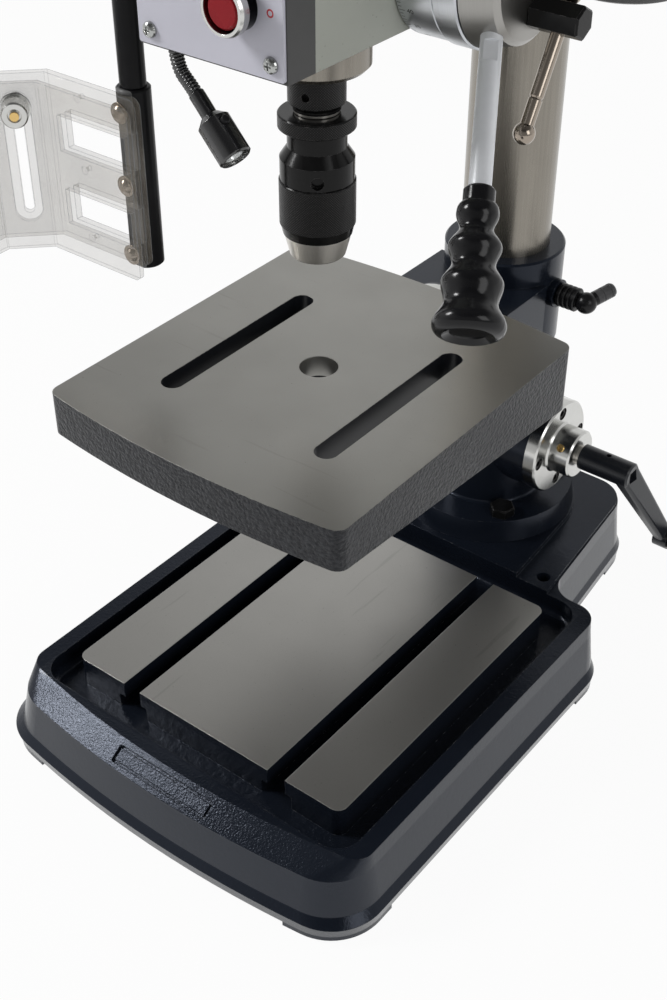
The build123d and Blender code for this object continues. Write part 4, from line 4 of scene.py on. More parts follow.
import bmesh
import bpy
from bpy.props import FloatProperty, FloatVectorProperty, IntProperty, PointerProperty
from bpy.types import Operator, Panel, PropertyGroup
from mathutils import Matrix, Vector


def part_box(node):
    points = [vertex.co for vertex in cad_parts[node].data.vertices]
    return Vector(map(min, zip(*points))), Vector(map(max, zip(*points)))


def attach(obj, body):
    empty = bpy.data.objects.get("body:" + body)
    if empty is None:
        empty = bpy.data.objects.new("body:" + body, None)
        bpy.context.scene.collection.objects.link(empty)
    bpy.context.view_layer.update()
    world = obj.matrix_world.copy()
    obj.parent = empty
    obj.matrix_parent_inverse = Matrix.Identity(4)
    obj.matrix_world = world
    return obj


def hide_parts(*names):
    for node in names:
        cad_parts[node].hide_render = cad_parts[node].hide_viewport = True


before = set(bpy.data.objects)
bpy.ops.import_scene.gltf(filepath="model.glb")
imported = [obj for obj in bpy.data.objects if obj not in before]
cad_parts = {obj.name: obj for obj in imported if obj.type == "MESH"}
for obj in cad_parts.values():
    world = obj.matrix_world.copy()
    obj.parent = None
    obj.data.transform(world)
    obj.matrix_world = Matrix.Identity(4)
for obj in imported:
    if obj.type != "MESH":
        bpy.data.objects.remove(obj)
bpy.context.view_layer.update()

bl_info = {
    "name": "Bench drill",
    "version": (1, 0, 0),
    "blender": (4, 5, 0),
    "location": "3D View > Sidebar > Bench drill",
    "description": "Finishes, small pieces and a studio for a bench drill",
    "category": "Object",
}

MM = 0.001
UP = Vector((0, 0, 1))
# Slack in sums of lengths, in metres
TINY = 1e-9
# A reach that takes in the whole of any piece, in metres
FAR = 1.0

# Places taken from the solids, in metres
SPINDLE = sum(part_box("chuck_sleeve"), Vector()) / 2
COLUMN = sum(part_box("column_tube"), Vector()) / 2
ring_low, ring_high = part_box("depth_ring")
FEED = (ring_low + ring_high) / 2
RING_RADIUS = (ring_high.z - ring_low.z) / 2
PAD_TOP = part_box("base_casting")[1].z
TABLE_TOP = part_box("table_plate")[1].z
PANEL_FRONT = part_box("panel_plate")[0].y

# Lower end of the lamp's gooseneck
TIP = Vector((-1.8951, -261.6587, 525.6281)) * MM
# Ball of the lock lever, and the direction of its handle
LOCK_BALL = Vector((78 * MM, COLUMN.y, 287 * MM))
LOCK_HANDLE = Vector((9, 22, 5)).normalized()
# Seat of the guard's stud, and the direction it points in
GUARD_STUD = Vector((-191.1078, -248.7078, 485)) * MM
GUARD_OUTWARD = Vector((1, -1, 0)).normalized()

# Reach forward and upward over which the hammered grain of the base's slope fades in
SLOPE_FORWARD = (0.337, 0.341)
SLOPE_UPWARD = (0.0485, 0.0505)
# Drip trough of the base
TROUGH_HALF_WIDTH = 0.1505
TROUGH_FRONT = -0.3365
TROUGH_REAR = -0.013
TROUGH_RIM = 0.0705
# Block of the table that holds its slots, and the reach of its centre hole
SLOTS_HALF_WIDTH = 0.080
SLOTS_FRONT = -0.262
SLOTS_REAR = -0.090
HOLE_REACH = 21 * MM
# Depth that still counts as the face of a pad, and of the table top or the panel
PAD_DEPTH = 0.2 * MM
FACE_DEPTH = 0.3 * MM

# Upward shares over which a face turns level, into the trough's floor, into more than a wall
LEVEL = (0.7, 0.9)
TROUGH_FLOOR = (0.15, 0.45)
OVER_WALL = (0.30, 0.55)
# Heights of the base's textures, in ripples of the paint
BASE_RIPPLE = 1.6
HAMMER_HEIGHT = 1.5
WIDE_RUNS = 7.0
NARROW_RUNS = 1.6
PAD_GRAIN = 0.10
# Clear varnish on the outer walls and in the trough of the base
WALL_VARNISH = 0.20
TROUGH_VARNISH = 0.25
VARNISH_ROUGHNESS = 0.16

# Streaks of ground steel: along an upright axis, and round the feed axis
UPRIGHT = (1, 1, 0.02)
ROUND_FEED = (12, 0.05, 0.05)
QUARTER_TURN = 0.25
# Distances over which the printed lines of the panel fade out
RING_LINE = (0.35 * MM, 0.60 * MM)
BAR_WIDTH = (0.4 * MM, 0.6 * MM)
BAR_HEIGHT = (3.2 * MM, 3.5 * MM)
# Knurls: piece, finish, radius, and the plain strips below and above
KNURLS = (
    ("chuck_sleeve", "sleeve_black", 25 * MM, 6.4 * MM, 1.2 * MM),
    ("draw_ring", "ring_black", 25 * MM, 1.0 * MM, 1.0 * MM),
    ("spindle_nut", "nut_black", 18.4 * MM, 5.2 * MM, 0.0),
)
# Outline of the lamp's reflector: outward from the lens and away from its axis, in mm
REFLECTOR = (
    (-5.4, 0.3), (-5.6, 1.2), (-6.2, 1.9), (-7.0, 2.2), (-7.2, 2.6),
    (-6.4, 3.2), (-4.4, 4.9), (-2.2, 6.1), (-1.7, 6.3), (-1.7, 6.75),
    (-2.4, 6.75), (-4.8, 5.4), (-7.4, 3.6), (-8.4, 2.8), (-8.6, 0.3),
)
REFLECTOR_SIDES = 40
# Corners round the gooseneck, its rings to a rib and the pieces of its bend
HOSE_SIDES = 28
RIB_STEPS = 8
BEND_STEPS = 24
# Lamps: name, place, width and height
LAMPS = (
    ("key_lamp", (-1.75, -1.25, 1.85), (0.65, 0.65)),
    ("side_lamp", (2.2, -0.6, 1.5), (1.1, 1.4)),
    ("back_lamp", (-1.1, 1.7, 1.8), (1.4, 0.9)),
)
# Upward share over which the studio's walls darken, and the spread of the dark wall
WALL_RISE = (0.38, 0.74)
SHADE_SPREAD = (0.1, 0.8)
# Height of a figure as a share of its letter size
FIGURE_SHARE = 0.7


def sum_of(operation):
    """A method that makes one sum of a signal and what it meets."""
    return lambda signal, *others: signal.finish.math(operation, signal, *others)


class Signal:
    """A shader output that takes part in sums like a number."""

    def __init__(self, finish, socket):
        self.finish = finish
        self.socket = socket

    def out(self, name):
        """Another output of the same node."""
        return Signal(self.finish, self.socket.node.outputs[name])

    def __rsub__(self, other):
        return self.finish.math("SUBTRACT", other, self)

    __add__ = __radd__ = sum_of("ADD")
    __sub__ = sum_of("SUBTRACT")
    __mul__ = __rmul__ = sum_of("MULTIPLY")
    __truediv__ = sum_of("DIVIDE")
    __gt__ = sum_of("GREATER_THAN")
    __lt__ = sum_of("LESS_THAN")
    __abs__ = sum_of("ABSOLUTE")


class Finish:
    """A node tree under construction, with its sums written in Python."""

    NOISE_ROUGHNESS = 0.6
    BEVEL_SAMPLES = 4
    # Turn of the surface over which an edge comes to show
    EDGE_TURN = (0.01, 0.16)

    def __init__(self, owner):
        owner.use_nodes = True
        self.owner = owner
        self.tree = owner.node_tree
        self.where = None

    def node(self, kind, settings, values, output=0):
        """One node: its settings first, then the values or links of its sockets."""
        made = self.tree.nodes.new(kind)
        for name, value in settings.items():
            setattr(made, name, value)
        for name, value in values.items():
            self.join(made.inputs[name], value)
        return Signal(self, made.outputs[output])

    def join(self, socket, value):
        """Links a signal to a socket, or writes a plain value on it."""
        if isinstance(value, Signal):
            self.tree.links.new(value.socket, socket)
        elif socket.type == "RGBA" and len(value) == 3:
            socket.default_value = (*value, 1.0)
        else:
            socket.default_value = value

    def math(self, operation, *values):
        """One sum of numbers."""
        return self.node("ShaderNodeMath", {"operation": operation}, dict(enumerate(values)))

    def vector(self, operation, *values, output=0):
        """One sum of vectors."""
        sockets = dict(enumerate(values))
        return self.node("ShaderNodeVectorMath", {"operation": operation}, sockets, output)

    def mix(self, share, first, second):
        """One colour fading into another."""
        return self.node("ShaderNodeMix", {"data_type": "RGBA"}, {0: share, 6: first, 7: second}, 2)

    def place(self):
        """The point's coordinates in the drill's frame, in metres."""
        if self.where is None:
            self.where = self.node("ShaderNodeTexCoord", {}, {}, "Object")
        return self.where

    def axes(self):
        """The point's x, y and z, in metres."""
        split = self.node("ShaderNodeSeparateXYZ", {}, {0: self.place()})
        return split, split.out("Y"), split.out("Z")

    def noise(self, size, detail=2, stretch=(1, 1, 1)):
        """Cloudy grains about size metres across, drawn out where stretch is under 1."""
        where = self.vector("MULTIPLY", self.place(), stretch)
        grain = {"Scale": 1 / size, "Detail": detail, "Roughness": self.NOISE_ROUGHNESS}
        return self.node("ShaderNodeTexNoise", {}, {"Vector": where, **grain})

    def cells(self, size, feature="F1"):
        """Distance from the middles of cells about size metres across."""
        sockets = {"Vector": self.place(), "Scale": 1 / size}
        return self.node("ShaderNodeTexVoronoi", {"feature": feature}, sockets)

    def step(self, value, low, high):
        """0 below low and 1 above high, with a soft rise between them."""
        sockets = {"Value": value, "From Min": low, "From Max": high}
        return self.node("ShaderNodeMapRange", {"interpolation_type": "SMOOTHSTEP"}, sockets)

    def facing(self):
        """The upward share of the surface's direction."""
        direction = self.node("ShaderNodeNewGeometry", {}, {}, "Normal")
        world = {"vector_type": "NORMAL", "convert_from": "WORLD", "convert_to": "OBJECT"}
        local = self.node("ShaderNodeVectorTransform", world, {0: direction})
        return self.vector("DOT_PRODUCT", local, tuple(UP), output="Value")

    def softened(self, width):
        """The surface direction with its sharp edges rounded over width metres."""
        return self.node("ShaderNodeBevel", {"samples": self.BEVEL_SAMPLES}, {"Radius": width})

    def edge(self, width):
        """1 along sharp edges and 0 on the faces between them."""
        true = self.node("ShaderNodeNewGeometry", {}, {}, "Normal")
        along = self.vector("DOT_PRODUCT", self.softened(width), true, output="Value")
        return self.step(1 - along, *self.EDGE_TURN)

    def relief(self, height, depth, width=0.5 * MM):
        """A surface direction raised by height times depth, with edges rounded over width."""
        bump = {"Height": height, "Distance": depth, "Strength": 1.0}
        return self.node("ShaderNodeBump", {}, {**bump, "Normal": self.softened(width)})

    def patches(self, size, low, high, detail=3, stretch=(1, 1, 1)):
        """Spots about size metres across, rarer as low rises."""
        return self.step(self.noise(size, detail, stretch), low, high)

    def wear(self, width, size, low, high, detail=4):
        """Spots about size metres across, along sharp edges only."""
        return self.edge(width) * self.patches(size, low, high, detail)

    def zoned(self, colour, zones):
        """A colour with the paints of some zones over it."""
        for start, direction, low, high, reach, paint in zones:
            offset = self.vector("SUBTRACT", self.place(), tuple(start))
            along = self.vector("DOT_PRODUCT", offset, tuple(direction), output="Value")
            aside = self.vector("CROSS_PRODUCT", offset, tuple(direction))
            away = self.vector("LENGTH", aside, output="Value")
            colour = self.mix((along > low) * (along < high) * (away < reach), colour, paint)
        return colour

    def knurl(self, centre, radius, pitch):
        """Crossed grooves round an upright axis, with small pyramids between them."""
        x, y, z = self.axes()
        angle = self.math("ARCTAN2", y - centre.y, x - centre.x)
        count = round(2 * math.pi * radius / pitch)
        turn = angle * (count / (2 * math.pi))
        rise = z / pitch
        left = self.math("PINGPONG", turn + rise, 0.5)
        right = self.math("PINGPONG", turn - rise, 0.5)
        return 4 * (left * right)

    def shade(self, **sockets):
        """The material, with its shader's values or links; underscores stand for spaces."""
        shader = self.tree.nodes["Principled BSDF"]
        for name, value in sockets.items():
            socket = name.replace("_", " ").title().replace("Ior", "IOR")
            self.join(shader.inputs[socket], value)
        return self.owner


def zone(start, direction, low, high, paint, reach=FAR):
    """A stretch of a line, from low to high and out to reach, with its own paint."""
    return start, direction, low, high, reach, paint


def new_finish(name):
    """The node tree of a new material."""
    return Finish(bpy.data.materials.new(name))


def dress(material, *nodes):
    """Gives solids of the frame a finish."""
    for name in nodes:
        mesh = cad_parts[name].data
        mesh.materials.clear()
        mesh.materials.append(material)


def new_piece(name, mesh, material, body, slot):
    """A piece of the drill that moves with a body."""
    piece = bpy.data.objects.new(name, mesh)
    bpy.context.scene.collection.objects.link(piece)
    mesh.materials.append(material)
    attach(piece, body)
    return piece


def mesh_from(name, shape, smooth=True):
    """A mesh from a finished bmesh."""
    bmesh.ops.recalc_face_normals(shape, faces=shape.faces)
    for face in shape.faces:
        face.smooth = smooth
    mesh = bpy.data.meshes.new(name)
    shape.to_mesh(mesh)
    shape.free()
    return mesh


def skin(shape, rings):
    """Closes a row of rings of corners into a tube with ends."""
    loops = [[shape.verts.new(corner) for corner in ring] for ring in rings]
    for near, far in zip(loops, loops[1:]):
        for index, corner in enumerate(near):
            after = (index + 1) % len(near)
            shape.faces.new((corner, near[after], far[after], far[index]))
    shape.faces.new(loops[0])
    shape.faces.new(loops[-1])


def turned_ring(centre, direction, along, radius, count):
    """Corners of a circle round a line."""
    side = direction.orthogonal().normalized()
    other = direction.cross(side)
    middle = centre + direction * along
    turns = [2 * math.pi * index / count for index in range(count)]
    return [middle + (side * math.cos(turn) + other * math.sin(turn)) * radius for turn in turns]


# Finishes


def worn_enamel(finish, look, cloud, chip):
    """The colour of enamel, dull in clouds and chipped in places."""
    return finish.mix(0.6 * chip, finish.mix(cloud, look.colour, look.faded), look.chipped)


def enamel(name, look):
    """Dark gloss enamel brushed over a casting, worn a little at its edges."""
    finish = new_finish(name)
    peel = finish.noise(look.peel, 3)
    cloud = finish.noise(50 * MM, 3)
    chip = finish.wear(width=0.7 * MM, size=6 * MM, low=0.56, high=0.66)
    return finish.shade(
        base_color=worn_enamel(finish, look, cloud, chip),
        roughness=look.roughness + 0.12 * cloud,
        specular_ior_level=look.gloss,
        # The shine is tinted blue: painted cool light in the reflections.
        specular_tint=look.tint,
        normal=finish.relief(peel, 2 * look.peel_depth),
    )


def base_enamel(look, iron):
    """Enamel of the base: hammered on the slope, run thick in the trough, with bare ground pads."""
    finish = new_finish("base_enamel")
    x, y, z = finish.axes()
    upward = finish.facing()
    slope = finish.step(0 - y, *SLOPE_FORWARD) * finish.step(z, *SLOPE_UPWARD)
    inside = (abs(x) < TROUGH_HALF_WIDTH) * (y > TROUGH_FRONT) * (y < TROUGH_REAR) * (z < TROUGH_RIM)
    trough = inside * finish.step(upward, *TROUGH_FLOOR)
    walls = (1 - inside) * (1 - finish.step(upward, *OVER_WALL))
    pad = (z > PAD_TOP - PAD_DEPTH) * finish.step(upward, *LEVEL)
    paint = 1 - pad

    peel = finish.noise(look.peel, 3)
    hammer = finish.noise(look.hammer, 2)
    runs = WIDE_RUNS * finish.noise(11 * MM, 3) + NARROW_RUNS * finish.noise(2.6 * MM, 2)
    grain = finish.noise(0.55 * MM, 2, stretch=(1, 0.35, 1))
    height = paint * peel * BASE_RIPPLE + slope * hammer * HAMMER_HEIGHT
    height = height + paint * trough * runs + pad * grain * PAD_GRAIN

    cloud = finish.noise(50 * MM, 3)
    chip = finish.wear(width=0.8 * MM, size=5 * MM, low=0.52, high=0.64)
    smear = finish.noise(70 * MM, 3)
    scratch = finish.patches(12 * MM, 0.66, 0.70, stretch=(1, 0.06, 1))
    speck = finish.patches(1.8 * MM, 0.70, 0.74)
    ground = finish.mix(0.55 * grain + 0.45 * smear, iron.pad, iron.pad_dull)
    bare = finish.mix(speck * 0.6 + scratch * 0.15, ground, iron.stain)
    return finish.shade(
        base_color=finish.mix(pad, worn_enamel(finish, look, cloud, chip), bare),
        metallic=pad * iron.metal,
        roughness=paint * (look.roughness + 0.10 * cloud) + pad * (iron.roughness + 0.10 * smear),
        specular_ior_level=look.gloss,
        # The shine is tinted blue: painted cool light in the reflections.
        specular_tint=look.tint,
        coat_weight=(WALL_VARNISH * walls + TROUGH_VARNISH * trough) * paint,
        coat_roughness=VARNISH_ROUGHNESS,
        normal=finish.relief(height, 2 * look.peel_depth, 0.9 * MM),
    )


def table_iron(iron):
    """Cast table: ground top and hole, dark paint on its sides, smooth in its slots."""
    finish = new_finish("table_iron")
    x, y, z = finish.axes()
    top = (z > TABLE_TOP - FACE_DEPTH) * finish.step(finish.facing(), *LEVEL)
    hole = (SPINDLE.x, SPINDLE.y, TABLE_TOP)
    from_hole = finish.vector("DISTANCE", finish.place(), hole, output="Value")
    bare = finish.math("MAXIMUM", top, (1 - top) * (from_hole < HOLE_REACH))
    slots = (abs(x) < SLOTS_HALF_WIDTH) * (y > SLOTS_FRONT) * (y < SLOTS_REAR)

    grain = finish.noise(0.5 * MM, 2, stretch=(0.4, 1, 1))
    cast = (1 - slots) * (finish.noise(2.6 * MM, 3) + 0.6 * finish.cells(2.4 * MM, "SMOOTH_F1"))
    cloud = finish.noise(40 * MM, 2)
    chip = finish.wear(width=0.9 * MM, size=4 * MM, low=0.46, high=0.58)
    smear = finish.noise(60 * MM, 3)
    scratch = finish.patches(10 * MM, 0.67, 0.71, stretch=(0.06, 1, 1))
    speck = finish.patches(1.7 * MM, 0.71, 0.75)
    paint = finish.mix(finish.step(cast, 0.55, 1.05), iron.side, iron.side_faded)
    ground = finish.mix(0.5 * grain + 0.5 * smear, iron.top, iron.top_dull)
    metal = finish.mix(speck * 0.6 + scratch * 0.12, ground, iron.stain)
    shown = finish.math("MAXIMUM", bare, chip)
    matt = iron.side_roughness + 0.1 * cloud
    return finish.shade(
        base_color=finish.mix(shown, paint, metal),
        metallic=shown * iron.metal,
        roughness=(1 - shown) * matt + shown * (iron.roughness + 0.10 * smear),
        specular_ior_level=iron.side_gloss,
        normal=finish.relief(bare * grain * 0.02 + (1 - bare) * cast, 1.0 * MM, 0.8 * MM),
    )


def ground_steel(name, colour, rough, spread, stretch=UPRIGHT):
    """Ground or turned steel: fine streaks along stretch, and a thin film of oil."""
    finish = new_finish(name)
    streak = finish.noise(1.6 * MM, 3, stretch)
    film = finish.noise(30 * MM, 3)
    dark = tuple(0.70 * part for part in colour)
    return finish.shade(
        base_color=finish.mix(0.7 * streak + 0.3 * film, colour, dark),
        metallic=1.0,
        roughness=rough + 0.10 * streak + 0.05 * film,
        anisotropic=spread,
        anisotropic_rotation=QUARTER_TURN,
        normal=finish.softened(0.4 * MM),
    )


def plated(name, colour, rough, zones=(), metal=1.0):
    """Bright plating: faint brushing, finger marks, zones of other colours."""
    finish = new_finish(name)
    brushed = finish.noise(0.5 * MM, 2)
    marks = finish.noise(12 * MM, 3)
    dull = tuple(0.86 * part for part in colour)
    return finish.shade(
        base_color=finish.zoned(finish.mix(marks, colour, dull), zones),
        metallic=metal,
        roughness=rough + 0.06 * marks + 0.04 * brushed,
        normal=finish.relief(brushed, 0.0012 * MM, 0.4 * MM),
    )


def black_oxide(name, look, knurl=None):
    """Blackened steel; a knurl round the spindle is given by its radius and two ends."""
    finish = new_finish(name)
    lines = finish.noise(1.6 * MM, 3, stretch=(1, 1, 14))
    film = finish.noise(20 * MM, 3)
    rub = finish.wear(width=0.5 * MM, size=4 * MM, low=0.42, high=0.62, detail=3)
    height = lines * 0.012
    worn = rub * 0.6
    matt = look.roughness + 0.08 * film
    if knurl:
        radius, low, high = knurl
        along = finish.axes()[2]
        band = (along > low) * (along < high)
        teeth = finish.knurl(SPINDLE, radius, look.pitch)
        height = height + band * teeth
        # Knurl crests painted toward rubbed steel: partly wear of the crests, partly a painted
        # highlight for the glints they catch.
        worn = worn + band * finish.step(teeth, 0.45, 1.0) * 0.40
        matt = matt + band * 0.12
    dark = finish.mix(film, look.colour, look.faded)
    return finish.shade(
        base_color=finish.mix(finish.math("MINIMUM", worn, 1.0), dark, look.rubbed),
        roughness=matt,
        specular_ior_level=look.gloss,
        normal=finish.relief(height, 0.25 * MM, 0.4 * MM),
    )


def moulded(name, colour, rough, grain=0.4 * MM, depth=0.006 * MM, gloss=0.25, zones=()):
    """Moulded plastic or rubber: fine grain, handling marks, zones of other colours."""
    finish = new_finish(name)
    fine = finish.noise(grain, 2)
    marks = finish.noise(15 * MM, 4)
    worn = tuple(min(1.0, 1.25 * part + 0.004) for part in colour)
    return finish.shade(
        base_color=finish.zoned(finish.mix(marks, colour, worn), zones),
        roughness=rough + 0.10 * marks,
        specular_ior_level=gloss,
        normal=finish.relief(fine, depth, 0.5 * MM),
    )


def structured_paint(name, colour, darker):
    """Pale machine enamel with the small pits of the casting showing through, darker in its pits and
    in spots along its edges.
    """
    finish = new_finish(name)
    hollow = finish.cells(4 * MM) + 0.22 * finish.noise(1.6 * MM, 2)
    pits = (1 - finish.step(hollow, 0.18, 0.26)) * finish.patches(22 * MM, 0.44, 0.60, detail=2)
    ripple = finish.noise(3 * MM, 3)
    cloud = finish.noise(80 * MM, 3)
    edge_spots = finish.wear(width=1.2 * MM, size=10 * MM, low=0.45, high=0.7, detail=3)
    clouded = finish.mix(cloud * 0.4, colour, darker)
    return finish.shade(
        base_color=finish.mix(pits * 0.7 + edge_spots * 0.3, clouded, darker),
        roughness=0.42 + 0.10 * ripple,
        normal=finish.relief(ripple * 0.4 - pits, 0.10 * MM, 0.8 * MM),
    )


def printed_panel(look):
    """Pale panel sheet with its two printed switch marks."""
    finish = new_finish("printed_panel")
    x, y, z = finish.axes()
    grain = finish.noise(0.9 * MM, 2)
    cloud = finish.noise(30 * MM, 3)
    front = y < PANEL_FRONT + FACE_DEPTH
    over, above = x - look.stop_mark[0], z - look.stop_mark[1]
    reach = finish.math("SQRT", over * over + above * above)
    ring = front * (1 - finish.step(abs(reach - look.mark_radius), *RING_LINE))
    aside, high = abs(x - look.start_mark[0]), abs(z - look.start_mark[1])
    bar = front * (1 - finish.step(aside, *BAR_WIDTH)) * (1 - finish.step(high, *BAR_HEIGHT))
    face = finish.mix(cloud * 0.5, look.colour, look.faded)
    return finish.shade(
        base_color=finish.mix(bar, finish.mix(ring, face, look.stop_ink), look.start_ink),
        roughness=0.36 + 0.10 * grain,
        normal=finish.relief(grain, 0.006 * MM, 0.3 * MM),
    )


def clear_sheet(name, tint, edge):
    """Clear guard plastic with fine wiping scratches, denser along its cut edges."""
    finish = new_finish(name)
    scratch = finish.patches(1.2 * MM, 0.60, 0.75, detail=4, stretch=(1, 1, 0.12))
    haze = finish.noise(30 * MM, 3)
    cut = finish.edge(0.9 * MM)
    return finish.shade(
        base_color=finish.mix(cut, tint, edge),
        roughness=0.05 + 0.10 * scratch + 0.04 * haze,
        specular_ior_level=1.0,
        alpha=0.14 + 0.05 * haze + 0.05 * scratch + 0.60 * cut,
    )


def plain_glass(name, tint):
    """Small clear lens."""
    finish = new_finish(name)
    rough = 0.02 + 0.05 * finish.noise(4 * MM, 3)
    return finish.shade(base_color=tint, roughness=rough, ior=1.5, transmission_weight=1.0)


# Sizes and colours


def number(label, words, value, kind=FloatProperty, **options):
    """A property with its label, description and default."""
    return kind(name=label, description=words, default=value, **options)


colour = partial(number, kind=FloatVectorProperty, subtype="COLOR", size=3, min=0.0, max=1.0)
point = partial(number, kind=FloatVectorProperty, subtype="XYZ", unit="LENGTH", precision=5)
turns = partial(number, kind=FloatVectorProperty, subtype="EULER", unit="ROTATION")
way = partial(number, kind=FloatVectorProperty, subtype="DIRECTION")
pair = partial(number, kind=FloatVectorProperty, size=2, unit="LENGTH", precision=5)
length = partial(number, unit="LENGTH", precision=5)
angle = partial(number, unit="ROTATION")
power = partial(number, unit="POWER")
share = partial(number, min=0.0, max=1.0)
count = partial(number, kind=IntProperty)


class EnamelLook(PropertyGroup):
    """Dark enamel of the castings."""

    colour: colour("Colour", "Fresh enamel", (0.0060, 0.0085, 0.0145))
    faded: colour("Faded", "Enamel where it has dulled", (0.011, 0.014, 0.021))
    chipped: colour("Chipped", "Primer and iron at worn edges", (0.22, 0.22, 0.22))
    # Blue tint on the paint's shine: a painted reflection colour standing in for cool light.
    tint: colour("Shine", "Colour of the paint's shine", (0.74, 0.82, 1.0))
    peel: length("Ripple", "Width of the ripples in the paint", 3.0 * MM)
    peel_depth: length("Ripple depth", "Depth of those ripples", 0.05 * MM)
    hammer: length("Hammered grain", "Width of the grain on the slope", 1.5 * MM)
    roughness: share("Roughness", "Spread of the paint's shine", 0.17)
    gloss: share("Gloss", "Strength of the paint's shine", 0.32)


class IronLook(PropertyGroup):
    """Ground and painted faces of the table and the pads, and the tilt scale."""

    top: colour("Table top", "Ground top of the table", (0.355, 0.35, 0.33))
    top_dull: colour("Dull table top", "Smeared parts of the table top", (0.29, 0.285, 0.265))
    pad: colour("Pads", "Ground pads of the base", (0.53, 0.52, 0.49))
    pad_dull: colour("Dull pads", "Smeared parts of the pads", (0.42, 0.41, 0.385))
    stain: colour("Stains", "Oil specks on ground iron", (0.12, 0.11, 0.10))
    metal: share("Metal", "Metallic share of ground iron", 0.85)
    roughness: share("Roughness", "Spread of the shine of ground iron", 0.27)
    side: colour("Table sides", "Textured paint of the table", (0.010, 0.011, 0.014))
    side_faded: colour("Dull table sides", "Dull parts of that paint", (0.032, 0.034, 0.039))
    side_roughness: share("Side roughness", "Spread of that paint's shine", 0.24)
    side_gloss: share("Side gloss", "Strength of that paint's shine", 0.24)
    scale: colour("Tilt scale", "Paint of the tilt scale", (0.80, 0.80, 0.78))
    # Colour that the scale darkens to in its pits and in spots along its edges.
    scale_dirty: colour("Scale pits", "Pits and grime of the scale", (0.55, 0.55, 0.52))


class SteelLook(PropertyGroup):
    """Bare and plated metals."""

    column: colour("Column", "Ground column and quill", (0.31, 0.287, 0.25))
    hub: colour("Hub", "Turned feed hub", (0.42, 0.41, 0.39))
    bright: colour("Bright", "Hardened jaws, nose and shafts", (0.74, 0.71, 0.66))
    chrome: colour("Chrome", "Rings and reflector", (0.68, 0.70, 0.73))
    # Near white and used with little metal: a painted highlight standing in for the bright
    # reflection of the satin chrome levers.
    lever: colour("Levers", "Satin plated levers", (0.90, 0.92, 0.95))
    zinc: colour("Zinc", "Plated flange, bezels and guard nut", (0.66, 0.66, 0.64))
    # Dark for nickel: painted shade standing in for the dark surroundings that the tommy bar and
    # guard screws mirror.
    nickel: colour("Nickel", "Tommy bar and guard screws", (0.36, 0.31, 0.26))
    screw: colour("Screws", "Panel screws", (0.44, 0.45, 0.44))
    brass: colour("Brass", "Nipple, nut and guard stud", (0.72, 0.50, 0.20))
    alloy: colour("Alloy", "Pulleys", (0.66, 0.66, 0.66))


class OxideLook(PropertyGroup):
    """Blackened chuck and screws."""

    colour: colour("Colour", "Fresh black", (0.005, 0.005, 0.0052))
    faded: colour("Faded", "Black where it has dulled", (0.011, 0.0108, 0.0108))
    # Also painted on the knurl crests, where it stands partly for their wear and partly, as a
    # painted highlight, for their glints.
    rubbed: colour("Rubbed", "Steel at rubbed edges", (0.30, 0.29, 0.29))
    pitch: length("Knurl", "Pitch of the knurled bands", 1.7 * MM)
    roughness: share("Roughness", "Spread of the black's shine", 0.13)
    gloss: share("Gloss", "Strength of the black's shine", 0.16)


class PanelLook(PropertyGroup):
    """Control panel, buttons and head paint."""

    colour: colour("Panel", "Panel sheet", (0.66, 0.655, 0.74))
    faded: colour("Dull panel", "Handled parts of the sheet", (0.60, 0.595, 0.67))
    box: colour("Box", "Control box and motor", (0.07, 0.07, 0.07))
    head: colour("Head", "Pale machine enamel", (0.46, 0.48, 0.43))
    # Colour that the head darkens to in its pits and in spots along its edges.
    head_dirty: colour("Head pits", "Pits and grime", (0.24, 0.24, 0.20))
    stop: colour("Stop", "Stop button", (0.26, 0.004, 0.010))
    start: colour("Start", "Start button", (0.012, 0.16, 0.035))
    stop_ink: colour("Stop ink", "Printed ring", (0.55, 0.02, 0.03))
    start_ink: colour("Start ink", "Printed bar", (0.02, 0.22, 0.06))
    stop_mark: pair("Stop mark", "Printed ring, across and up", (0.0448, 0.600))
    start_mark: pair("Start mark", "Printed bar, across and up", (0.0060, 0.650))
    mark_radius: length("Mark radius", "Radius of the printed ring", 1.9 * MM)


class PlasticLook(PropertyGroup):
    """Grips, crank, guard, lamp and belt."""

    grip: colour("Grips", "Moulded grips", (0.004, 0.004, 0.005))
    satin: colour("Satin black", "Guard rod and lamp", (0.006, 0.006, 0.007))
    crank: colour("Crank", "Painted crank arm", (0.012, 0.014, 0.019))
    handle: colour("Lock handle", "Handle of the lock lever", (0.085, 0.085, 0.088))
    flat: colour("Sleeve flat", "Milled flat of the guard sleeve", (0.13, 0.13, 0.13))
    washer: colour("Washer", "Washer of the guard nut", (0.055, 0.056, 0.058))
    guard: colour("Guard", "Tint of the guard sheet", (0.43, 0.385, 0.32))
    cut: colour("Guard edges", "Cut edges of the guard sheet", (0.22, 0.25, 0.29))
    lens: colour("Lens", "Lamp lens", (0.97, 0.97, 0.95))
    light: colour("Light", "Small light behind the lens", (0.80, 0.66, 0.22))
    belt: colour("Belt", "Rubber of the belt", (0.012, 0.012, 0.012))


class MarkSizes(PropertyGroup):
    """Engraved marks of the depth ring."""

    stroke: length("Stroke", "Width of one mark", 0.40 * MM)
    short: length("Short mark", "Length of a 1 mm mark", 2.4 * MM)
    middle: length("Middle mark", "Length of a 5 mm mark", 3.2 * MM)
    tall: length("Long mark", "Length of a 10 mm mark", 4.0 * MM)
    margin: length("Margin", "Marks from the ring's end", 1.0 * MM)
    figure: length("Figures", "Height of the figures", 3.3 * MM)
    gap: length("Gap", "Figures from the long marks", 1.5 * MM)
    lift: length("Lift", "Height of the ink above the metal", 0.03 * MM)
    stroke_per_turn: length("Feed per turn", "Quill travel to one turn", 106.8 * MM)
    last: count("Last figure", "Last figure, in millimetres", 80)
    front: count("Front figure", "Figure that the front shows", 40)
    front_turn: angle("Front turn", "Angle of that figure above the front", math.radians(-28))
    ink: colour("Ink", "Filled engraving", (0.012, 0.012, 0.012))


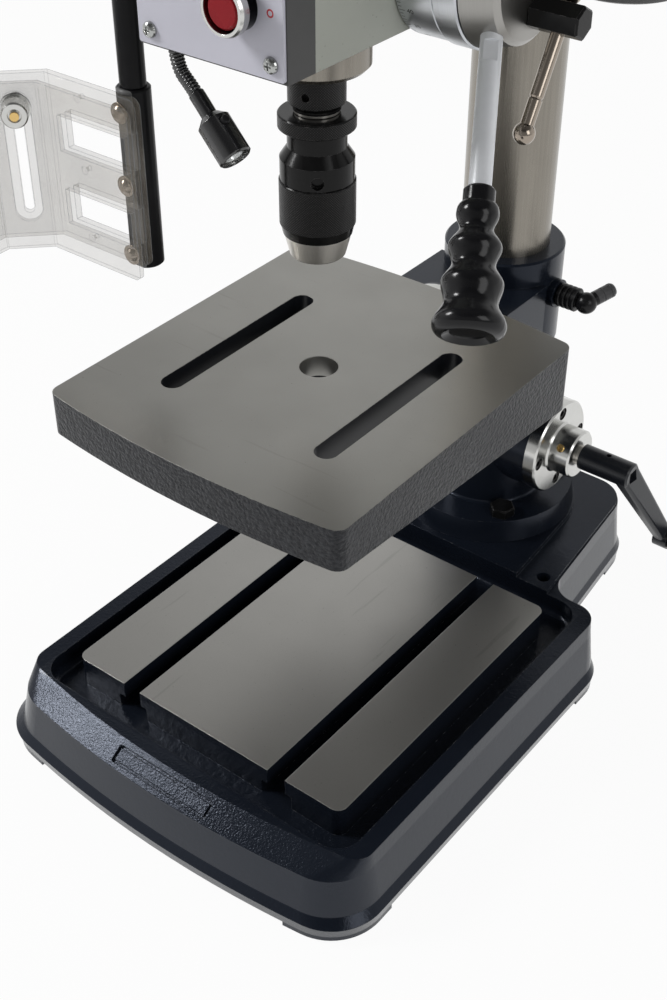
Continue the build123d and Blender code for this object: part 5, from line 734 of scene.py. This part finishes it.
class HoseSizes(PropertyGroup):
    """Gooseneck of the lamp."""

    crest: length("Crest", "Radius over the ribs", 4.4 * MM)
    valley: length("Valley", "Radius between the ribs", 3.4 * MM)
    pitch: length("Pitch", "Distance between ribs", 2.2 * MM)
    sleeve: length("Sleeve", "Radius of the smooth end sleeve", 4.9 * MM)
    sleeve_length: length("Sleeve length", "Length of the smooth end sleeve", 21 * MM)
    sleeve_rise: length("Sleeve rise", "Run over which the sleeve rises", 0.4 * MM)
    inset: pair("Inset", "Upper end from the hose's left and front", (4.4 * MM, 9.9 * MM))
    drop: length("Drop", "Straight run below the box", 20 * MM)
    bend: point("Bend", "Bend seen from the lamp end", (-17.5 * MM, 3.0 * MM, 15.5 * MM))
    across: way("Across", "Direction square to the bend", (0.1685, 0.9857, 0.0))


class StudioLook(PropertyGroup):
    """Camera, lights and floor."""

    camera: point("Camera", "Place of the camera", (0.5439, -0.8505, 0.8654))
    tilt: turns("Tilt", "Turn of the camera", (math.radians(52.622), 0.0, math.radians(37.96)))
    lens: number("Lens", "Focal length in millimetres", 52.86)
    sky: share("Sky", "Light from overhead", 0.16)
    horizon: share("Horizon", "Light from the white walls", 0.80)
    shade: share("Shade", "Darkness of the wall behind the camera", 0.6)
    shade_side: way("Shade side", "Direction of that wall", (0.62, -0.78, 0.0))
    aim: point("Aim", "Place that the lamps point at", (0.0, -0.15, 0.30))
    key_lamp: power("Key", "Power of the front lamp", 34.0)
    side_lamp: power("Side", "Power of the lamp on the right", 12.0)
    back_lamp: power("Back", "Power of the lamp behind", 1.5)
    floor: colour("Floor", "Pale floor", (0.82, 0.82, 0.82))
    floor_reach: length("Floor reach", "Half the floor's width", 6.0)
    floor_white: share("Floor white", "Plain white over the lit floor", 0.95)


class BenchDrillLook(PropertyGroup):
    """Sizes and colours of the drill."""

    enamel: PointerProperty(type=EnamelLook)
    iron: PointerProperty(type=IronLook)
    steel: PointerProperty(type=SteelLook)
    oxide: PointerProperty(type=OxideLook)
    panel: PointerProperty(type=PanelLook)
    plastic: PointerProperty(type=PlasticLook)
    marks: PointerProperty(type=MarkSizes)
    hose: PointerProperty(type=HoseSizes)
    studio: PointerProperty(type=StudioLook)


# Operators


class BENCHDRILL_OT_base(Operator):
    """Paint the base, the column foot, the table bracket and their bolts"""

    bl_idname = "bench_drill.base"
    bl_label = "Base and foot"

    def execute(self, context):
        look = context.scene.bench_drill
        dress(base_enamel(look.enamel, look.iron), "base_casting")
        dress(enamel("foot_enamel", look.enamel), "column_foot", "table_bracket")
        dress(black_oxide("bolt_black", look.oxide), "foot_bolts", "flange_screws", "clamp_screw")
        return {"FINISHED"}


class BENCHDRILL_OT_column(Operator):
    """Finish the column, the quill and the shafts"""

    bl_idname = "bench_drill.column"
    bl_label = "Column and shafts"

    def execute(self, context):
        steel = context.scene.bench_drill.steel
        column = ground_steel("column_steel", steel.column, rough=0.20, spread=0.75)
        dress(column, "column_tube", "quill_sleeve")
        shafts = ground_steel("shaft_steel", steel.bright, rough=0.24, spread=0.4)
        dress(shafts, "spindle_shaft", "lift_screw", "feed_shaft", "crank_shaft", "tilt_bolt")
        return {"FINISHED"}


class BENCHDRILL_OT_table(Operator):
    """Finish the table and its tilt scale"""

    bl_idname = "bench_drill.table"
    bl_label = "Table"

    def execute(self, context):
        iron = context.scene.bench_drill.iron
        dress(table_iron(iron), "table_plate")
        dress(structured_paint("scale_white", iron.scale, iron.scale_dirty), "tilt_scale")
        return {"FINISHED"}


class BENCHDRILL_OT_crank(Operator):
    """Finish the crank, its bearing flange, the lock lever and the brass parts"""

    bl_idname = "bench_drill.crank"
    bl_label = "Crank and lock lever"

    def execute(self, context):
        look = context.scene.bench_drill
        steel, plastic = look.steel, look.plastic
        dress(plated("flange_zinc", steel.zinc, rough=0.16), "crank_flange")
        arm = {"rough": 0.24, "grain": 2.0 * MM, "depth": 0.05 * MM, "gloss": 0.5}
        dress(moulded("crank_black", plastic.crank, **arm), "crank_arm")
        lever = (LOCK_BALL, LOCK_HANDLE)
        handle = zone(*lever, low=9 * MM, high=40 * MM, paint=plastic.handle, reach=7 * MM)
        dress(moulded("lock_black", plastic.satin, rough=0.22, zones=(handle,)), "lock_lever")
        dress(moulded("crank_grip_black", plastic.grip, rough=0.12), "crank_grip")
        dress(plated("brass", steel.brass, rough=0.22), "grease_nipple", "lift_nut")
        return {"FINISHED"}


class BENCHDRILL_OT_head(Operator):
    """Paint the head, the control box, the drive cover and the motor"""

    bl_idname = "bench_drill.head"
    bl_label = "Head, box and cover"

    def execute(self, context):
        panel = context.scene.bench_drill.panel
        head = structured_paint("head_paint", panel.head, panel.head_dirty)
        dress(head, "head_casting", "spring_cap", "belt_cover", "belt_tray")
        box = moulded("box_paint", panel.box, rough=0.38, grain=0.9 * MM, depth=0.02 * MM)
        dress(box, "control_box")
        motor = moulded("motor_paint", panel.box, rough=0.36, grain=1.2 * MM, depth=0.03 * MM)
        dress(motor, "motor_body")
        return {"FINISHED"}


class BENCHDRILL_OT_controls(Operator):
    """Finish the panel, its buttons and its screws"""

    bl_idname = "bench_drill.controls"
    bl_label = "Panel and buttons"

    def execute(self, context):
        look = context.scene.bench_drill
        dress(printed_panel(look.panel), "panel_plate")
        black = look.plastic.grip
        foot = zone((0, PANEL_FRONT, 0), (0, -1, 0), low=-20 * MM, high=7.6 * MM, paint=black)
        dress(plated("bezel_alloy", look.steel.zinc, rough=0.20, zones=(foot,)), "button_bezels")
        dress(plated("screw_zinc", look.steel.screw, rough=0.10), "panel_screws")
        dress(moulded("stop_red", look.panel.stop, rough=0.22, gloss=0.18), "stop_button")
        dress(moulded("start_green", look.panel.start, rough=0.24), "start_button")
        return {"FINISHED"}


class BENCHDRILL_OT_chuck(Operator):
    """Finish the chuck, its jaws and the knurled rings"""

    bl_idname = "bench_drill.chuck"
    bl_label = "Chuck"

    def execute(self, context):
        look = context.scene.bench_drill
        for piece, name, radius, below, above in KNURLS:
            low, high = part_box(piece)
            dress(black_oxide(name, look.oxide, (radius, low.z + below, high.z - above)), piece)
        dress(black_oxide("chuck_black", look.oxide), "chuck_body")
        jaws = ground_steel("jaw_steel", look.steel.bright, rough=0.22, spread=0.6)
        dress(jaws, "chuck_nose", "jaw_one", "jaw_two", "jaw_three")
        return {"FINISHED"}


class BENCHDRILL_OT_feed(Operator):
    """Finish the feed hub, its levers and rings, and mark the depth ring"""

    bl_idname = "bench_drill.feed"
    bl_label = "Feed levers and depth ring"

    def execute(self, context):
        look = context.scene.bench_drill
        steel, turned = look.steel, {"spread": 0.3, "stretch": ROUND_FEED}
        ring = ground_steel("ring_chrome", steel.chrome, rough=0.24, **turned)
        dress(ring, "depth_ring", "plain_ring")
        dress(ground_steel("hub_steel", steel.hub, rough=0.28, **turned), "feed_hub")
        # The levers are mostly this pale colour with little metal: a painted highlight in place of
        # the bright reflection of their satin chrome.
        dress(plated("lever_chrome", steel.lever, rough=0.36, metal=0.2), "lever_rods")
        # The tommy bar's nickel is darkened: painted shade for the dark surroundings it mirrors.
        dress(plated("tommy_nickel", steel.nickel, rough=0.09), "tommy_bar")
        dress(moulded("grip_black", look.plastic.grip, rough=0.12, gloss=0.26), "lever_grips")
        ink = moulded("engraved_ink", look.marks.ink, rough=0.5)
        new_piece("depth_marks", self.marks(look.marks), ink, "depth_ring", "satin_chrome")
        return {"FINISHED"}

    def marks(self, marks):
        """Divisions and figures wrapped round the depth ring."""
        shape = bmesh.new()
        radius = RING_RADIUS + marks.lift
        start = ring_low.x + marks.margin
        half = marks.stroke / (2 * radius)
        turn_per_mm = 2 * math.pi * MM / marks.stroke_per_turn

        def on_ring(along, turn):
            forward, up = radius * math.cos(turn), radius * math.sin(turn)
            return Vector((along, FEED.y - forward, FEED.z + up))

        for step in range(marks.last + 1):
            reach = marks.tall if step % 10 == 0 else marks.middle if step % 5 == 0 else marks.short
            turn = marks.front_turn + (step - marks.front) * turn_per_mm
            corners = ((0, -half), (reach, -half), (reach, half), (0, half))
            places = [on_ring(start + along, turn + aside) for along, aside in corners]
            shape.faces.new([shape.verts.new(place) for place in places])
            if step % 5 == 0:
                flat = self.figure(str(step), marks.figure / FIGURE_SHARE)
                for corner in flat.vertices:
                    along = start + marks.tall + marks.gap + corner.co.x
                    corner.co = on_ring(along, turn + corner.co.y / radius)
                shape.from_mesh(flat)
                bpy.data.meshes.remove(flat)
        return mesh_from("depth_marks", shape, smooth=False)

    def figure(self, words, size):
        """One number, flat, read along the ring's axis."""
        letters = bpy.data.curves.new("figure", "FONT")
        letters.body = words
        letters.size = size
        letters.align_y = "CENTER"
        carrier = bpy.data.objects.new("figure", letters)
        flat = bpy.data.meshes.new_from_object(carrier)
        bpy.data.objects.remove(carrier)
        return flat


class BENCHDRILL_OT_guard(Operator):
    """Finish the chip guard and its rod"""

    bl_idname = "bench_drill.guard"
    bl_label = "Chip guard"

    def execute(self, context):
        look = context.scene.bench_drill
        steel, plastic = look.steel, look.plastic
        dress(clear_sheet("guard_clear", plastic.guard, plastic.cut), "guard_plate", "guard_slider")
        satin = {"rough": 0.26, "gloss": 0.12}
        dress(moulded("rod_black", plastic.satin, **satin), "guard_rod")
        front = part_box("guard_sleeve")[0].y
        flat = zone((0, front, 0), (0, 1, 0), low=-1 * MM, high=2.6 * MM, paint=plastic.flat)
        dress(moulded("sleeve_satin", plastic.satin, **satin, zones=(flat,)), "guard_sleeve")
        stud = (GUARD_STUD, GUARD_OUTWARD)
        washer = zone(*stud, low=-20 * MM, high=5.9 * MM, paint=plastic.washer)
        end = zone(*stud, low=18.6 * MM, high=60 * MM, paint=steel.brass, reach=3.3 * MM)
        dress(plated("guard_nut_zinc", steel.zinc, rough=0.20, zones=(washer, end)), "guard_nut")
        # The guard screws' nickel is darkened: painted shade for the dark surroundings they mirror.
        dress(plated("guard_screw_nickel", steel.nickel, rough=0.14), "guard_screws")
        return {"FINISHED"}


class BENCHDRILL_OT_lamp(Operator):
    """Finish the lamp, and build its gooseneck and reflector"""

    bl_idname = "bench_drill.lamp"
    bl_label = "Work lamp"

    def execute(self, context):
        look = context.scene.bench_drill
        black = moulded("lamp_black", look.plastic.satin, rough=0.10, gloss=1.0)
        dress(black, "lamp_body")
        dress(moulded("switch_black", look.plastic.satin, rough=0.45), "lamp_switch")
        dress(plain_glass("lamp_lens_clear", look.plastic.lens), "lamp_lens")
        hose = new_piece("gooseneck", self.gooseneck(look.hose), black, "frame", "lamp_metal")
        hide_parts("lamp_hose")
        new_piece("lamp_reflector", *self.reflector(look), "frame", "plated_steel")
        return {"FINISHED"}

    def reflector(self, look):
        """A bright dish with its small light behind the lens, and its finish."""
        middle = sum(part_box("lamp_lens"), Vector()) / 2
        outward = (middle - TIP).normalized()
        shape = bmesh.new()
        rings = []
        for along, radius in REFLECTOR:
            rings.append(turned_ring(middle, outward, along * MM, radius * MM, REFLECTOR_SIDES))
        skin(shape, rings)
        glow = look.plastic.light
        light = zone(middle, outward, low=-7.1 * MM, high=0.0, paint=glow, reach=2.3 * MM)
        chrome = plated("reflector_chrome", look.steel.chrome, rough=0.06, zones=(light,))
        return mesh_from("lamp_reflector", shape), chrome

    def route(self, hose):
        """Points along the gooseneck, from the box down to the lamp."""
        low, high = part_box("lamp_hose")
        root = Vector((low.x + hose.inset[0], low.y + hose.inset[1], high.z))
        curve = bpy.data.curves.new("hose_line", "CURVE")
        curve.dimensions = "3D"
        curve.resolution_u = BEND_STEPS
        line = curve.splines.new("NURBS")
        stops = (root, root - hose.drop * UP, TIP + Vector(hose.bend), TIP)
        line.points.add(len(stops) - 1)
        for corner, stop in zip(line.points, stops):
            corner.co = (*stop, 1)
        line.order_u = 3
        line.use_endpoint_u = True
        carrier = bpy.data.objects.new("hose_line", curve)
        drawn = bpy.data.meshes.new_from_object(carrier)
        places = [corner.co.copy() for corner in drawn.vertices]
        bpy.data.objects.remove(carrier)
        bpy.data.meshes.remove(drawn)
        return places

    def gooseneck(self, hose):
        """Spiral ribs along the route, and a smooth sleeve over the lamp end."""
        places = self.route(hose)
        runs = [0.0]
        for near, far in zip(places, places[1:]):
            runs.append(runs[-1] + (far - near).length)
        whole = runs[-1]
        count = round(whole / hose.pitch * RIB_STEPS)
        side = Vector(hose.across)
        shape = bmesh.new()
        rings = []
        for step in range(count + 1):
            run = whole * step / count
            after = next(index for index in range(1, len(runs)) if runs[index] >= run - TINY)
            near, far = places[after - 1], places[after]
            part = (run - runs[after - 1]) / (runs[after] - runs[after - 1])
            centre = near.lerp(far, part)
            other = (far - near).normalized().cross(side).normalized()
            cover = min(1.0, max(0.0, (run - whole + hose.sleeve_length) / hose.sleeve_rise))
            ring = []
            for index in range(HOSE_SIDES):
                turn = 2 * math.pi * index / HOSE_SIDES
                wave = abs(math.sin(math.pi * run / hose.pitch - turn / 2))
                radius = hose.valley + (hose.crest - hose.valley) * math.sqrt(wave)
                radius += (hose.sleeve - radius) * cover
                ring.append(centre + (side * math.cos(turn) + other * math.sin(turn)) * radius)
            rings.append(ring)
        skin(shape, rings)
        return mesh_from("gooseneck", shape)


class BENCHDRILL_OT_drive(Operator):
    """Finish the pulleys, the belt and the cable gland"""

    bl_idname = "bench_drill.drive"
    bl_label = "Belt drive"

    def execute(self, context):
        look = context.scene.bench_drill
        pulleys = ground_steel("pulley_alloy", look.steel.alloy, rough=0.3, spread=0.4)
        dress(pulleys, "spindle_pulley", "motor_pulley")
        belt = moulded("belt_rubber", look.plastic.belt, rough=0.6, grain=0.6 * MM, depth=0.03 * MM)
        dress(belt, "drive_belt")
        dress(moulded("gland_black", look.plastic.satin, rough=0.5), "cable_gland")
        return {"FINISHED"}


class BENCHDRILL_OT_stage(Operator):
    """Set the floor, the lights and the camera"""

    bl_idname = "bench_drill.stage"
    bl_label = "Studio"

    def execute(self, context):
        scene = context.scene
        studio = scene.bench_drill.studio
        self.floor(scene, studio)
        self.sky(scene, studio)
        for lamp in LAMPS:
            self.lamp(scene, studio, *lamp)
        self.camera(scene, studio)
        scene.view_settings.view_transform = "Standard"
        return {"FINISHED"}

    def floor(self, scene, studio):
        """A wide pale floor, near white to camera and shine, with a faint shadow."""
        shape = bmesh.new()
        bmesh.ops.create_grid(shape, x_segments=1, y_segments=1, size=studio.floor_reach)
        sheet = bpy.data.objects.new("floor", mesh_from("floor", shape))
        scene.collection.objects.link(sheet)
        finish = new_finish("floor_white")
        finish.shade(base_color=studio.floor, roughness=0.9)
        path = finish.node("ShaderNodeLightPath", {}, {}, "Is Camera Ray")
        through = finish.math("MAXIMUM", path.out("Is Transmission Ray"), path.out("Is Glossy Ray"))
        seen = studio.floor_white * finish.math("MAXIMUM", path, through)
        white = finish.node("ShaderNodeEmission", {}, {"Color": (1, 1, 1), "Strength": 1.0})
        surface = Signal(finish, finish.tree.nodes["Principled BSDF"].outputs[0])
        mixed = finish.node("ShaderNodeMixShader", {}, {0: seen, 1: surface, 2: white})
        finish.join(finish.tree.nodes["Material Output"].inputs["Surface"], mixed)
        sheet.data.materials.append(finish.owner)

    def sky(self, scene, studio):
        """Walls that are white to the camera and light the drill less from above."""
        finish = Finish(bpy.data.worlds.new("studio"))
        scene.world = finish.owner
        direction = finish.node("ShaderNodeTexCoord", {}, {}, "Generated")
        height = finish.node("ShaderNodeSeparateXYZ", {}, {0: direction}, "Z")
        level = studio.horizon + (studio.sky - studio.horizon) * finish.step(height, *WALL_RISE)
        behind = finish.vector("DOT_PRODUCT", direction, tuple(studio.shade_side), output="Value")
        level = level * (1 - studio.shade * finish.step(behind, *SHADE_SPREAD))
        path = finish.node("ShaderNodeLightPath", {}, {}, "Is Camera Ray")
        seen = finish.math("MAXIMUM", path, path.out("Is Transmission Ray"))
        backdrop = finish.tree.nodes["Background"]
        finish.join(backdrop.inputs["Color"], (1, 1, 1))
        finish.join(backdrop.inputs["Strength"], finish.math("MAXIMUM", level, seen))

    def lamp(self, scene, studio, name, place, size):
        """A large soft lamp aimed at the drill."""
        light = bpy.data.lights.new(name, "AREA")
        light.shape = "RECTANGLE"
        light.size, light.size_y = size
        light.energy = getattr(studio, name)
        carrier = bpy.data.objects.new(name, light)
        carrier.location = place
        aim = Vector(studio.aim) - carrier.location
        carrier.rotation_euler = aim.to_track_quat("-Z", "Y").to_euler()
        scene.collection.objects.link(carrier)

    def camera(self, scene, studio):
        """The photograph's viewpoint."""
        view = bpy.data.cameras.new("camera")
        view.lens = studio.lens
        carrier = bpy.data.objects.new("camera", view)
        carrier.location = studio.camera
        carrier.rotation_euler = studio.tilt
        scene.collection.objects.link(carrier)
        scene.camera = carrier


class BENCHDRILL_PT_sidebar(Panel):
    """Steps that dress the drill, in order"""

    bl_label = "Bench drill"
    bl_idname = "BENCHDRILL_PT_sidebar"
    bl_space_type = "VIEW_3D"
    bl_region_type = "UI"
    bl_category = "Bench drill"

    def draw(self, context):
        for step in STEPS:
            self.layout.operator(step.bl_idname)


GROUPS = (
    EnamelLook, IronLook, SteelLook, OxideLook, PanelLook, PlasticLook,
    MarkSizes, HoseSizes, StudioLook, BenchDrillLook,
)
STEPS = (
    BENCHDRILL_OT_base, BENCHDRILL_OT_column, BENCHDRILL_OT_table, BENCHDRILL_OT_crank,
    BENCHDRILL_OT_head, BENCHDRILL_OT_controls, BENCHDRILL_OT_chuck, BENCHDRILL_OT_feed,
    BENCHDRILL_OT_guard, BENCHDRILL_OT_lamp, BENCHDRILL_OT_drive, BENCHDRILL_OT_stage,
)


def register():
    for made in (*GROUPS, *STEPS, BENCHDRILL_PT_sidebar):
        bpy.utils.register_class(made)
    bpy.types.Scene.bench_drill = PointerProperty(type=BenchDrillLook)


def unregister():
    del bpy.types.Scene.bench_drill
    for made in reversed((*GROUPS, *STEPS, BENCHDRILL_PT_sidebar)):
        bpy.utils.unregister_class(made)


def main():
    register()
    for step in STEPS:
        group, name = step.bl_idname.split(".")
        getattr(getattr(bpy.ops, group), name)()


if __name__ == "__main__":
    main()
